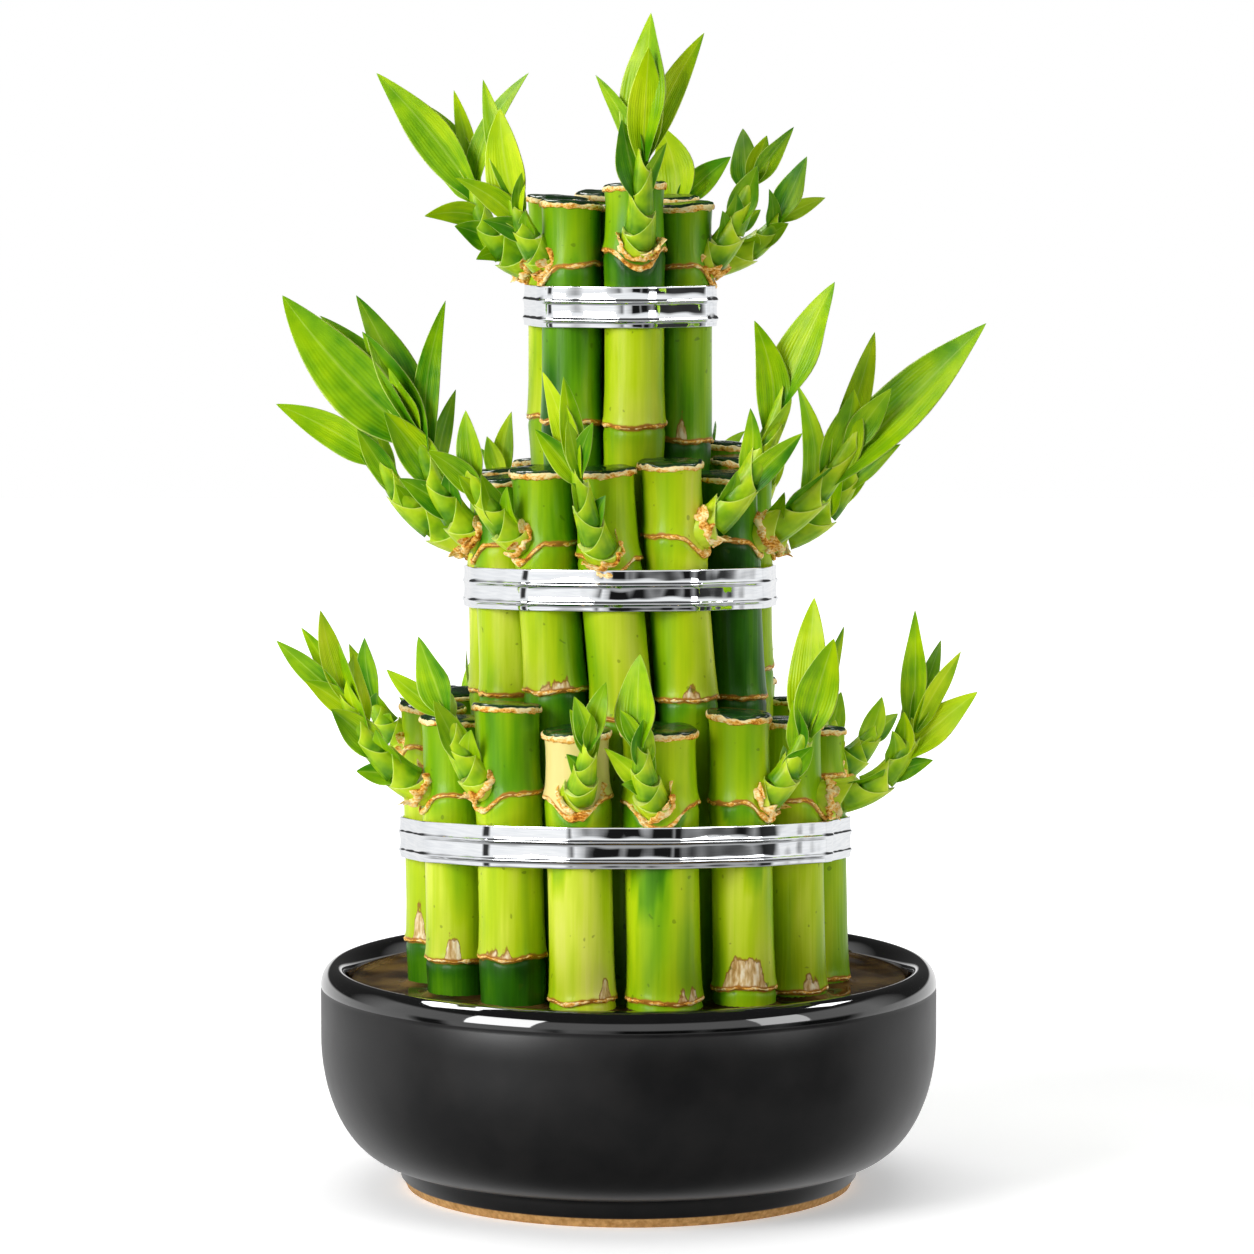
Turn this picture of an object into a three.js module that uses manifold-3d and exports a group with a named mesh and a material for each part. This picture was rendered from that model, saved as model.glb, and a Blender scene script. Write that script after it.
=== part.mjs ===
// A tower of lucky bamboo in a bowl of water: three rings of cut canes round one middle cane,
// each cane grown with its own leafy shoot, bound by three beaded metal bands.
// Millimetres, z up, the origin under the middle of the bowl. The front faces -y.

import * as THREE from "three";
import { mergeVertices } from "three/addons/utils/BufferGeometryUtils.js";
import Module from "manifold-3d";

const wasm = await Module();
wasm.setup();

// Driving dimensions of the bowl
const BOWL_RADIUS = 75;
const BOWL_HEIGHT = 54.3;
const RIM_WIDTH = 7;
const RIM_LINE = 49.4;
const WALL_START = 37;
const BELLY_HALF_WIDTH = 18;
const BELLY_HALF_HEIGHT = 30;
const FOOT_RADIUS = 54.3;
const FOOT_WAIST = 56.2;
const FOOT_RING_WIDTH = 8;
const FOOT_RECESS = 3;
const FLOOR = 10;
const INNER_WALL_START = 40;
const INNER_BELLY_HALF_WIDTH = 13.5;
const BOWL_SIDES = 30;

// Driving dimensions of the water and of the clearance that touching pieces keep
const CLEARANCE = 0.35;
const WATER_TOP = 50;
const BUNDLE_HOLE_RADIUS = 39.5;
const CANE_HOLE_GAP = 0.55;

// The bundle leans to the left between these heights, by this much in all
const LEAN_START = 50;
const LEAN_END = 150;
const LEAN = -2.1;

// Canes have this many sides, and each node stands out a little from the cane under it
const CANE_SIDES = 9;
const NODE_RELIEF = 0.3;
const NODE_LENGTH = 1.5;
const CANE_FOOT = FLOOR + CLEARANCE;

// A shoot starts this deep in its cane and swells over its root
const ROOT_DEPTH = 3;
const STEM_SIDES = 5;
const STEM_PROFILE = [[0, 3.8], [0.35, 4.2], [0.97, 1.6]];

// Blades: a pointed spindle of three sides, with one flat face and a keel along its back
const BLADE_SIDES = 3;
const BLADE_KEEL = 1.3;
const LONG_BLADE = 27;
const LONG_BLADE_STEPS = [0.22, 0.5, 0.78];
const SHORT_BLADE_STEPS = [0.3, 0.68];
const BLADE_SPREAD = 26;
const BLADE_SUNK = 0.08;
const BLADE_KNEE = 0.45;

// Bands are pressed from a strip this thick and this tall, with two beads and a lip
const BAND_GAP = 0.7;
const BAND_THICKNESS = 0.7;
const BAND_HEIGHT = 9.8;
const BEAD_RISE = 0.35;
const BAND_PROFILE = [
  [0, 0], [BAND_THICKNESS, 0], [BAND_THICKNESS + BEAD_RISE, 1.6], [BAND_THICKNESS, 2.5],
  [BAND_THICKNESS, 5.4], [BAND_THICKNESS + BEAD_RISE, 6.25], [BAND_THICKNESS, 7.1],
  [BAND_THICKNESS, BAND_HEIGHT], [0, BAND_HEIGHT],
];

// Rings of canes: the radius that their middles stand on, how far the ring turns as it rises, and
// how much wider it gets between two heights
const rings = {
  centre: { radius: 0 },
  inner: { radius: 14.75, spread: 0.9, spreadStart: 170, spreadEnd: 190 },
  middle: { radius: 29.7, turnPerMm: -0.13, turnStart: 125 },
  outer: { radius: 46.2 },
};

// Shoots. The stem's end is [out, sideways, up] from its root, and the knee that its curve bends
// at is given as shares of that reach [level, up]. The face is the side that the blades show, in
// degrees round the stem from straight out. Each leaf is [place along the stem, tip out, tip
// sideways, tip up, width, bow], and the bow is 0 for a straight leaf and 1 for one that leaves
// along the stem.
const BOW = 0.7;
const KNEE = [0.6, 0.15];
const shoots = {
  topLeft: {
    stem: [15.8, 3, 19.4], knee: [0.85, 0.05], face: 95,
    leaves: [
      [1, 23.4, 2, 26.6, 10, 0.25], [1, 11.4, -5, 18.6, 5, 1], [1, 5.4, -4, 22.6, 4.5],
      [1, -13.6, 3, 26.6, 5.5, 0.95], [0.8, 12.7, 7, -1, 5.5, 0.5], [0.9, 9.5, -5, 5.3, 5],
      [0.5, 9.5, 5, 4, 6.5], [0.4, 6, 5, -2.3, 4.5],
    ],
  },
  topFrontLeft: {
    stem: [10, 0, 16], face: 80,
    leaves: [
      [0.9, 4, 1, 24, 9.8, 1.1], [1, 5.9, -8, 28.3, 5.5, 1], [0.85, 0, 6, 10, 3.5],
      [0.55, 2, 6, 7, 4], [0.75, 16, 1, 11, 5.5], [0.6, 11, 2, 4, 5], [1, 1, -4, 12, 5],
    ],
  },
  topFront: {
    stem: [9, -0.5, 24], face: -11,
    leaves: [
      [1, 0, 1.9, 31.5, 11.5, 0.5], [1, 4, 0.6, 23.4, 8], [0.7, 4, -5.6, 17.2, 7.8, -0.3],
      [1, -5, -10.4, 17, 5, 0.4], [1, -3, 15.3, 27, 6.5, 0.4], [0.7, 5, 5, 12, 4],
    ],
  },
  topBack: {
    stem: [14, -10.7, 15], face: -150,
    leaves: [
      [0.95, -2, 4, 19, 11], [1, 7, -10.2, 10, 6.5, 0.3], [0.6, 4, 5, 7, 5],
    ],
  },
  topRight: {
    stem: [13.2, -2, 22], face: -85,
    leaves: [
      [0.95, -2.5, 4, 12.5, 7, 0], [1, 3, 0, 9, 5], [1, 9.5, -1, 11, 5.5, 0.3],
      [0.65, 5, -4, 13, 7], [0.5, 2, -6, 10, 5.5], [0.4, 0, -6, 8, 4.5],
      [0.55, 6.5, 5, 5, 4.5, 0.3],
    ],
  },
  topFarRight: {
    stem: [23.3, -4, 12], knee: [0.75, 0], face: -100,
    leaves: [
      [1, 6, -1, 14, 7], [1, 11.3, 2, 4, 4, 0.3], [0.85, -1.9, -4, 9.5, 4],
      [0.65, 6.4, -5, 4.8, 5], [0.5, 6.3, 1, 0.9, 4.5], [0.5, 2.3, -5, 3.9, 5.5],
    ],
  },
  middleFarLeft: {
    stem: [24, 9, 22], knee: [0.7, 0.05], face: 110,
    leaves: [
      [1, 23, 8, 11.2, 8, 0.25], [0.8, 5.5, 8, 13, 5.5], [0.7, 9, 4, 10, 4], [1, 9, -3, 13, 5],
      [0.45, 5, 6, 9, 5], [0.3, 5, 2, 1, 5], [0.8, 5, -5, 13, 5],
    ],
  },
  middleLeft: {
    stem: [17, 2, 28], face: 90,
    leaves: [
      [1, 31.5, 0, 31, 14, -0.35], [1, 23, -6, 26, 7.5, 0.9], [1, 14, -2, 31, 10, 1.2],
      [0.9, 13.8, 2, 27, 9, 1.5], [0.85, -5.4, 2, 36.6, 6, 0.65], [0.75, -6, -6, 19, 4.5, 0.3],
      [1, 6, 6, 14, 6], [0.7, 11.5, 6, 16, 8.5], [0.4, 13, 4, 9, 6.5], [0.4, 1, 6, 12, 5],
    ],
  },
  middleFrontLeft: {
    stem: [14, -6, 19], face: 55,
    leaves: [
      [0.8, 12, -3, 9, 6], [0.9, 1, -1, 15.5, 5.8, 0.5], [0.6, 8, -1, 8, 5], [0.2, 5, 4, 12, 5],
      [0.2, 6, -1, 4, 5], [0.35, 8, 2, 13, 6],
    ],
  },
  middleBackLeft: {
    stem: [8, 4, 14], face: 150,
    leaves: [
      [1, 2, 3, 11, 5.5], [1, 2, -4, 17, 5], [0.9, 8, 2, 10, 4], [0.75, 8, -2, 15, 4.5],
    ],
  },
  middleFront: {
    stem: [9, -7, 22], face: 2,
    leaves: [
      [1, 0, -8, 22, 6], [1, 2, -3, 21, 5.5], [1, 5, -2, 11, 4.5], [1, 5, 4, 10.5, 4.5],
      [0.95, 2, -10, 10.5, 5.5, 0.3], [0.7, 4, -3, 6, 5.5], [0.5, 3, 3.5, 8, 5],
    ],
  },
  middleFrontRight: {
    stem: [21, 8, 35], face: -65,
    leaves: [
      [1, 10, 5, 24.6, 10.5, 0.9], [0.85, -3.6, -4, 24, 7.8, 0.9], [0.7, 8, -1, 13, 4.5],
      [0.6, 1, -4, 15, 5.5], [0.5, 15, 0, 13, 6, 0.3], [0.3, 5, -4, 10, 5.5], [0.4, 5, 2, 7, 5],
    ],
  },
  middleBackRight: {
    stem: [11, -3, 16], face: -125,
    leaves: [
      [0.95, 1, -1, 9, 4.5], [0.8, 8, 2, 8, 4], [0.9, 0, 5, 11, 5], [0.7, 1, -5, 9, 4],
    ],
  },
  middleRight: {
    stem: [28, 0, 29], face: -84,
    leaves: [
      [0.5, -3.5, 1, 27.5, 5.8, 0.8], [0.7, 5, -4, 20, 9], [0.75, 8.3, 2, 31.5, 7.5, 0.2],
      [0.7, 36, 3, 35.5, 12.8, 0], [0.9, 9, -5, 12, 6.5], [0.3, 11, -3, 13, 7],
      [0.2, 3, -6, 9, 5], [0.7, 2, 6, 17, 5],
    ],
  },
  middleFarRight: {
    stem: [24, -3, 20], knee: [0.75, 0], face: -98,
    leaves: [
      [0.8, 12, -6, 10, 5, 0.6], [0.6, 11.5, 2, 12.2, 5, 0.7], [1, 11, 3, 5, 4.5],
      [0.5, 3.5, -7, 12.5, 6.5], [0.35, 5.5, -1, 3.3, 5], [0.95, 8, 5, 10, 5],
    ],
  },
  lowLeft: {
    stem: [22.4, -2, 25], face: 78,
    leaves: [
      [1, 15.3, -1, 11.8, 6, 0], [1, 8.6, -6, 14.3, 4.5], [1, 5, 1, 19, 6.5, 1.1],
      [0.75, 6.8, -3.4, 24.5, 9, 1.2], [0.9, 11, 2, 6.5, 5.5, 0.6], [0.8, 0, -4, 16, 6.5],
      [0.75, 4, 3, 12, 5.5], [0.6, 11, 4, 10, 7.5], [0.4, 9, 0, -0.4, 5.5, 0.1],
      [0.4, 5, 5, 10, 6],
    ],
  },
  lowFarLeft: {
    stem: [11, 2, 12], face: 108,
    leaves: [
      [0.9, 2, 1, 16, 5.5], [0.8, -2, 6, 5, 4], [1, 7, -4, 12, 5], [0.55, -2, 4, 3.5, 4.5],
      [0.8, 10, -3, 9, 5],
    ],
  },
  lowFrontLeft: {
    stem: [10, -5, 20], face: 55,
    leaves: [
      [1, 5.8, -2, 16.2, 8.5, 0.3], [1, 9.6, -10, 8, 5, -0.2], [0.5, 9.5, 1, 15, 6.5],
      [0.9, -3, -4, 6, 4.5], [0.4, 3, 5, 10, 5.5],
    ],
  },
  lowFront: {
    stem: [8, 4, 14], face: 6,
    leaves: [
      [1, 0, 4, 14, 5.5], [1, 4, -3, 11, 5], [0.9, 2, -4, 10, 4.5], [0.6, 0, 4, 12, 4.5],
      [0.6, 2, -4, 5, 4], [1, 5, 1, 7, 4],
    ],
  },
  lowFrontMiddle: {
    stem: [8, -4, 17], face: 6,
    leaves: [
      [1, 0, 0.6, 19.4, 9.8, 0.5], [1, 1, -4, 6.5, 4], [0.8, 5, 1, 10, 6.5],
      [0.5, 4, -9.5, 9, 5.5, 0.3], [0.6, 2, 2, 8, 4], [0.4, 4, -6, 2, 4],
    ],
  },
  lowFrontRight: {
    stem: [12, 3, 18], face: -62,
    leaves: [
      [1, 0, 2.8, 30, 9, 0], [1, 7, -1, 21, 9.2, -1.5], [1, 4.6, 9.5, 23, 5, -1.2],
      [0.8, 0, -4, 12, 5.5], [0.55, 8, -3, 7, 5.5], [0.5, -2, 3, 7, 4.5],
    ],
  },
  lowRight: {
    stem: [25.3, 0, 19], knee: [0.8, -0.1], face: -84,
    leaves: [
      [1, -0.5, 0, 26, 6.5, 0.3], [1, 5.5, 5, 18.4, 5], [1, 10.5, -1, 16.3, 5.5, 0.3],
      [0.8, 17, 2, 13.8, 8, 0.2], [0.6, 10.5, 0, 3.2, 4.8, 0.4], [0.85, -0.8, 6, 14.6, 5.5],
      [0.8, -0.1, -6, 9.8, 5], [0.7, -1.1, -6, 8.2, 5], [0.25, 9, -5, 7, 6],
    ],
  },
  lowFarRight: {
    stem: [12, -1, 10], face: -112,
    leaves: [
      [0.7, 3.4, -2, 12, 5.5], [0.8, 8, 1, 6, 4.5], [0.6, 1, -4, 4, 4.5], [0.95, 2, 4, 6, 4.5],
    ],
  },
};

// Canes, ring by ring from the front round by the right. The angle is the cane's place round
// the ring and the heading is where its shoot grows, both in degrees from the front. The nodes
// are the heights of its two rings, and the shoot grows from the upper one.
const canes = {
  centre: [{ angle: 0, radius: 7.2, top: 238, nodes: [185, 226] }],
  inner: [
    { angle: 12.7, radius: 7.2, top: 243.3, nodes: [186, 228], heading: 11, shoot: "topFront" },
    { angle: 72.7, radius: 7.2, top: 238.4, nodes: [182, 224], heading: 85, shoot: "topRight" },
    { angle: 132.7, radius: 7.2, top: 240, nodes: [184, 224], heading: 100, shoot: "topFarRight" },
    { angle: 192.7, radius: 7.2, top: 241, nodes: [186, 225], heading: 150, shoot: "topBack" },
    { angle: 252.7, radius: 7.2, top: 240, nodes: [187, 224], heading: -95, shoot: "topLeft" },
    { angle: 312.7, radius: 7.2, top: 239, nodes: [187, 224], heading: -80, shoot: "topFrontLeft" },
  ],
  middle: [
    { angle: -0.8, radius: 7.4, top: 176.4, nodes: [118, 156], heading: -2, shoot: "middleFront" },
    { angle: 30.5, radius: 7.4, top: 178, nodes: [122, 161], heading: 65, shoot: "middleFrontRight" },
    { angle: 66, radius: 7.2, top: 174.3, nodes: [121, 159], heading: 84, shoot: "middleRight" },
    { angle: 100, radius: 7.3, top: 177, nodes: [126, 158], heading: 98, shoot: "middleFarRight" },
    { angle: 132, radius: 6.9, top: 180, nodes: [120, 157], heading: 125, shoot: "middleBackRight" },
    { angle: 163, radius: 7.2, top: 176, nodes: [123, 158], heading: 160, shoot: "middleFarRight" },
    { angle: 194.5, radius: 6.9, top: 178, nodes: [119, 157], heading: 198, shoot: "middleFrontLeft" },
    { angle: 226, radius: 7.2, top: 175.5, nodes: [122, 156], heading: 210, shoot: "middleBackLeft" },
    { angle: 266, radius: 7.35, top: 174, nodes: [121, 157], heading: 250, shoot: "middleFarLeft" },
    { angle: 296, radius: 7.4, top: 173, nodes: [122, 158], heading: 270, shoot: "middleLeft" },
    { angle: 328, radius: 7.4, top: 176, nodes: [124, 159], heading: -55, shoot: "middleFrontLeft" },
  ],
  outer: [
    { angle: -13.5, radius: 7.7, top: 116.1, nodes: [53, 101], heading: -6, shoot: "lowFront" },
    {
      angle: 10.9, radius: 8.8, inset: 1.3, top: 116.4, nodes: [53, 99], heading: -6,
      shoot: "lowFrontMiddle",
    },
    { angle: 36.4, radius: 7.3, top: 119.4, nodes: [55, 99], heading: 62, shoot: "lowFrontRight" },
    { angle: 59.4, radius: 7.5, top: 116, nodes: [52, 98], heading: 84, shoot: "lowRight" },
    { angle: 84, radius: 7.5, top: 112.3, nodes: [52, 102], heading: 112, shoot: "lowFarRight" },
    { angle: 111, radius: 7.5, top: 117, nodes: [57, 100], heading: 150, shoot: "lowFarRight" },
    { angle: 139, radius: 7.6, top: 120, nodes: [60, 102], heading: 165, shoot: "lowFarLeft" },
    { angle: 166, radius: 7.5, top: 116, nodes: [56, 99], heading: 170, shoot: "lowFrontRight" },
    { angle: 194, radius: 7.6, top: 121, nodes: [62, 103], heading: 190, shoot: "lowFrontLeft" },
    { angle: 221, radius: 7.5, top: 118, nodes: [54, 100], heading: 205, shoot: "lowFarLeft" },
    { angle: 249, radius: 7.6, top: 119, nodes: [58, 101], heading: 215, shoot: "lowFarRight" },
    { angle: 276, radius: 7.6, top: 118, nodes: [61, 108], heading: 252, shoot: "lowFarLeft" },
    { angle: 298.8, radius: 7.6, top: 116.5, nodes: [59, 99], heading: 282, shoot: "lowLeft" },
    { angle: 323.9, radius: 7.8, top: 121.4, nodes: [62, 102], heading: 305, shoot: "lowFrontLeft" },
  ],
};

// Bands: the ring that each one binds, the height of its lower edge over the middle of the
// bundle, and how much it rises for each millimetre towards the front
const bands = {
  upper_band: { ring: "inner", bottom: 209.5, rise: 0, stepsPerCane: 4 },
  middle_band: { ring: "middle", bottom: 141.6, rise: 0.05, stepsPerCane: 3 },
  lower_band: { ring: "outer", bottom: 80.6, rise: 0.077, stepsPerCane: 3 },
};

// Finishes
function finish(color, roughness, metalness = 0) {
  return new THREE.MeshStandardMaterial({ color, roughness, metalness, flatShading: true });
}
const finishes = {
  bowl: finish(0x0d0d0e, 0.25),
  water: finish(0x2a2008, 0.05),
  band: finish(0xd8dce0, 0.12, 1),
  outer: finish(0x7fae1c, 0.35),
  middle: finish(0x8dbb22, 0.35),
  inner: finish(0x97c22c, 0.35),
  centre: finish(0x86b026, 0.35),
};

// Solids
function toSolid(geometry) {
  // Merge a closed skin's shared points, drop the empty triangles at its poles and seams, and
  // turn its faces outwards.
  const bare = geometry.clone();
  bare.deleteAttribute("normal");
  bare.deleteAttribute("uv");
  const merged = mergeVertices(bare, 1e-4);
  const index = Array.from(merged.getIndex().array);
  const corners = [];
  for (let i = 0; i < index.length; i += 3) {
    const [a, b, c] = index.slice(i, i + 3);
    if (a !== b && b !== c && c !== a) corners.push(a, b, c);
  }
  const points = merged.getAttribute("position");
  if (signedVolume(points, corners) < 0) corners.reverse();
  return new wasm.Manifold(new wasm.Mesh({
    numProp: 3,
    vertProperties: new Float32Array(points.array),
    triVerts: new Uint32Array(corners),
  }));
}

function signedVolume(points, corners) {
  const [a, b, c] = [new THREE.Vector3(), new THREE.Vector3(), new THREE.Vector3()];
  let total = 0;
  for (let i = 0; i < corners.length; i += 3) {
    a.fromBufferAttribute(points, corners[i]);
    b.fromBufferAttribute(points, corners[i + 1]);
    c.fromBufferAttribute(points, corners[i + 2]);
    total += a.dot(b.cross(c)) / 6;
  }
  return total;
}

function toGeometry(solid) {
  const { vertProperties, triVerts } = solid.getMesh();
  const geometry = new THREE.BufferGeometry();
  geometry.setAttribute("position", new THREE.BufferAttribute(new Float32Array(vertProperties), 3));
  geometry.setIndex(new THREE.BufferAttribute(new Uint32Array(triVerts), 1));
  geometry.computeVertexNormals();
  return geometry;
}

function fuse(solids) {
  return solids.reduce((joined, solid) => joined.add(solid));
}

function turned(outline, sides) {
  // A lathed skin that stands along z, from [radius, height] points.
  const points = outline.map(([radius, height]) => new THREE.Vector2(radius, height));
  return new THREE.LatheGeometry(points, sides).rotateX(Math.PI / 2);
}

function moveEach(geometry, move) {
  const position = geometry.getAttribute("position");
  for (let i = 0; i < position.count; i += 1) {
    const point = move(new THREE.Vector3().fromBufferAttribute(position, i));
    position.setXYZ(i, point.x, point.y, point.z);
  }
  return geometry;
}

function quarterBelly(centreRadius, centreHeight, halfWidth, halfHeight, steps) {
  // The lower outer quarter of an ellipse, from its foot outwards and up.
  const quarter = [-Math.PI / 2, 0];
  const curve = new THREE.EllipseCurve(centreRadius, centreHeight, halfWidth, halfHeight, ...quarter);
  return curve.getPoints(steps).map((point) => [point.x, point.y]);
}

// The bowl: a foot ring, an elliptical belly, a straight wall, a rounded rim and a hollow inside
function makeBowl() {
  const rimMiddle = BOWL_RADIUS - RIM_WIDTH / 2;
  const rimRise = BOWL_HEIGHT - RIM_LINE;
  const rim = new THREE.EllipseCurve(rimMiddle, RIM_LINE, RIM_WIDTH / 2, rimRise, 0, Math.PI);
  const bellyStart = BOWL_RADIUS - BELLY_HALF_WIDTH;
  const innerStart = BOWL_RADIUS - RIM_WIDTH - INNER_BELLY_HALF_WIDTH;
  const innerHalfHeight = INNER_WALL_START - FLOOR;
  const outline = [
    [0, FOOT_RECESS],
    [FOOT_RADIUS - FOOT_RING_WIDTH - 0.5, FOOT_RECESS],
    [FOOT_RADIUS - FOOT_RING_WIDTH, 0],
    [FOOT_RADIUS, 0],
    [FOOT_WAIST - 0.7, 2.3],
    [FOOT_WAIST, WALL_START - BELLY_HALF_HEIGHT],
    ...quarterBelly(bellyStart, WALL_START, BELLY_HALF_WIDTH, BELLY_HALF_HEIGHT, 5),
    ...rim.getPoints(4).map((point) => [point.x, point.y]),
    ...quarterBelly(innerStart, INNER_WALL_START, INNER_BELLY_HALF_WIDTH, innerHalfHeight, 4).reverse(),
    [0, FLOOR],
  ];
  return new THREE.Mesh(toGeometry(toSolid(turned(outline, BOWL_SIDES))), finishes.bowl);
}

// The water: it fills the bowl round the canes, with one scalloped hole for the whole bundle
function makeWater() {
  const start = BOWL_RADIUS - RIM_WIDTH - INNER_BELLY_HALF_WIDTH;
  const halfWidth = INNER_BELLY_HALF_WIDTH - CLEARANCE;
  const halfHeight = INNER_WALL_START - FLOOR - CLEARANCE;
  const outline = [
    [0, CANE_FOOT],
    ...quarterBelly(start, INNER_WALL_START, halfWidth, halfHeight, 4),
    [start + halfWidth, WATER_TOP],
    [0, WATER_TOP],
  ];
  const post = (radius, sides) => {
    return turned([[0, 0], [radius, 0], [radius, BOWL_HEIGHT], [0, BOWL_HEIGHT]], sides);
  };
  const holes = canes.outer.map((cane) => {
    const middle = canePlace("outer", cane, CANE_FOOT);
    return toSolid(post(cane.radius + CANE_HOLE_GAP, CANE_SIDES).translate(middle.x, middle.y, 0));
  });
  const bundle = fuse([toSolid(post(BUNDLE_HOLE_RADIUS, canes.outer.length)), ...holes]);
  const water = toSolid(turned(outline, BOWL_SIDES)).subtract(bundle);
  return new THREE.Mesh(toGeometry(water), finishes.water);
}

// Where the middle of a cane is at a height
function canePlace(ringName, cane, height) {
  const ring = rings[ringName];
  const turn = ring.turnPerMm ? ring.turnPerMm * Math.max(0, height - ring.turnStart) : 0;
  const spread = ring.spread ? ring.spread * shareBetween(height, ring.spreadStart, ring.spreadEnd) : 0;
  const angle = THREE.MathUtils.degToRad(cane.angle + turn);
  const radius = ring.radius + spread - (cane.inset ?? 0);
  const x = radius * Math.sin(angle) + leanAt(height);
  return new THREE.Vector3(x, -radius * Math.cos(angle), height);
}

function leanAt(height) {
  return LEAN * shareBetween(height, LEAN_START, LEAN_END);
}

function shareBetween(height, low, high) {
  return THREE.MathUtils.clamp((height - low) / (high - low), 0, 1);
}

// A cane: a round stalk with a raised ring at each node, which follows the lean and the turn
function makeStalk(ringName, cane, foot) {
  const body = cane.radius;
  const proud = body + NODE_RELIEF;
  const nodes = cane.nodes.flatMap((height) => [[body, height - NODE_LENGTH], [proud, height]]);
  const outline = [[0, CANE_FOOT], [body, CANE_FOOT], ...nodes, [body, cane.top], [0, cane.top]];
  const stalk = turned(outline, CANE_SIDES);
  moveEach(stalk, (point) => {
    const middle = canePlace(ringName, cane, point.z);
    return new THREE.Vector3(point.x + middle.x, point.y + middle.y, point.z).sub(foot);
  });
  return toSolid(stalk);
}

function directions(headingDegrees) {
  const heading = THREE.MathUtils.degToRad(headingDegrees);
  return {
    out: new THREE.Vector3(Math.sin(heading), -Math.cos(heading), 0),
    sideways: new THREE.Vector3(Math.cos(heading), Math.sin(heading), 0),
  };
}

function along(directionPair, [out, sideways, up]) {
  return new THREE.Vector3(0, 0, up)
    .addScaledVector(directionPair.out, out)
    .addScaledVector(directionPair.sideways, sideways);
}

function carry(geometry, curve, face) {
  // Carry a shape that stands along z from 0 to 1 onto a curve, with its y towards the face.
  return moveEach(geometry, (point) => {
    const tangent = curve.getTangent(point.z);
    const across = new THREE.Vector3().crossVectors(face, tangent).normalize();
    const outward = new THREE.Vector3().crossVectors(tangent, across);
    return curve.getPoint(point.z).addScaledVector(across, point.x).addScaledVector(outward, point.y);
  });
}

// The stem's curve leaves the cane almost level and then rises to its end
function stemCurve(root, reach, [level, up]) {
  const knee = new THREE.Vector3(level * reach.x, level * reach.y, up * reach.z);
  return new THREE.QuadraticBezierCurve3(root, root.clone().add(knee), root.clone().add(reach));
}

function makeStem(curve, face) {
  const outline = [[0, 0], ...STEM_PROFILE.map(([place, radius]) => [radius, place]), [0, 1]];
  return toSolid(carry(turned(outline, STEM_SIDES), curve, face));
}

function bladeShape(place) {
  // The width along a lance-shaped blade, as a share of its widest place.
  return Math.sin(Math.PI * place ** 0.85) ** 0.85;
}

function makeBlade(curve, width, face) {
  const long = curve.v0.distanceTo(curve.v2) > LONG_BLADE;
  const steps = long ? LONG_BLADE_STEPS : SHORT_BLADE_STEPS;
  const outline = [[0, 0], ...steps.map((place) => [bladeShape(place), place]), [0, 1]];
  const blade = turned(outline, BLADE_SIDES);
  blade.scale(width / Math.sqrt(3), BLADE_KEEL / 1.5, 1);
  return toSolid(carry(blade, curve, face));
}

function makeLeaf(stem, directionPair, shoot, leaf, order) {
  const [place, out, sideways, up, width, bow = BOW] = leaf;
  const root = stem.getPoint(Math.max(0, place - BLADE_SUNK));
  const tip = along(directionPair, [out, sideways, up]).add(stem.getPoint(place));
  const way = tip.clone().sub(root).normalize().lerp(stem.getTangent(place), bow);
  const knee = way.multiplyScalar(BLADE_KNEE * root.distanceTo(tip)).add(root);
  const turn = THREE.MathUtils.degToRad(shoot.face + BLADE_SPREAD * ((order % 3) - 1));
  const face = along(directionPair, [Math.cos(turn), Math.sin(turn), 0]);
  return makeBlade(new THREE.QuadraticBezierCurve3(root, knee, tip), width, face);
}

function makeShoot(ringName, cane, foot) {
  const shoot = shoots[cane.shoot];
  const pair = directions(cane.heading);
  const root = canePlace(ringName, cane, cane.nodes[1])
    .addScaledVector(pair.out, cane.radius - ROOT_DEPTH)
    .sub(foot);
  const curve = stemCurve(root, along(pair, shoot.stem), shoot.knee ?? KNEE);
  const leaves = shoot.leaves.map((leaf, order) => makeLeaf(curve, pair, shoot, leaf, order));
  return [makeStem(curve, pair.sideways), ...leaves];
}

// A cane with its shoot and leaves, grown as one piece
function makeCane(ringName, cane) {
  const foot = canePlace(ringName, cane, CANE_FOOT);
  const parts = [makeStalk(ringName, cane, foot)];
  if (cane.shoot) parts.push(...makeShoot(ringName, cane, foot));
  const mesh = new THREE.Mesh(toGeometry(fuse(parts)), finishes[ringName]);
  mesh.position.copy(foot);
  return mesh;
}

// A band: its outline is drawn tight round its ring of canes, and its edges rise to the front
function bandOutline(ringName, height, count) {
  const circles = canes[ringName].map((cane) => {
    return { middle: canePlace(ringName, cane, height), radius: cane.radius };
  });
  return Array.from({ length: count }, (_, i) => {
    const angle = (2 * Math.PI * i) / count;
    const normal = new THREE.Vector3(Math.cos(angle), Math.sin(angle), 0);
    const reach = (circle) => circle.middle.dot(normal) + circle.radius;
    const touched = circles.reduce((best, circle) => (reach(circle) > reach(best) ? circle : best));
    const edge = new THREE.Vector3(touched.middle.x, touched.middle.y, 0);
    return { normal, edge: edge.addScaledVector(normal, touched.radius + BAND_GAP) };
  });
}

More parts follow.
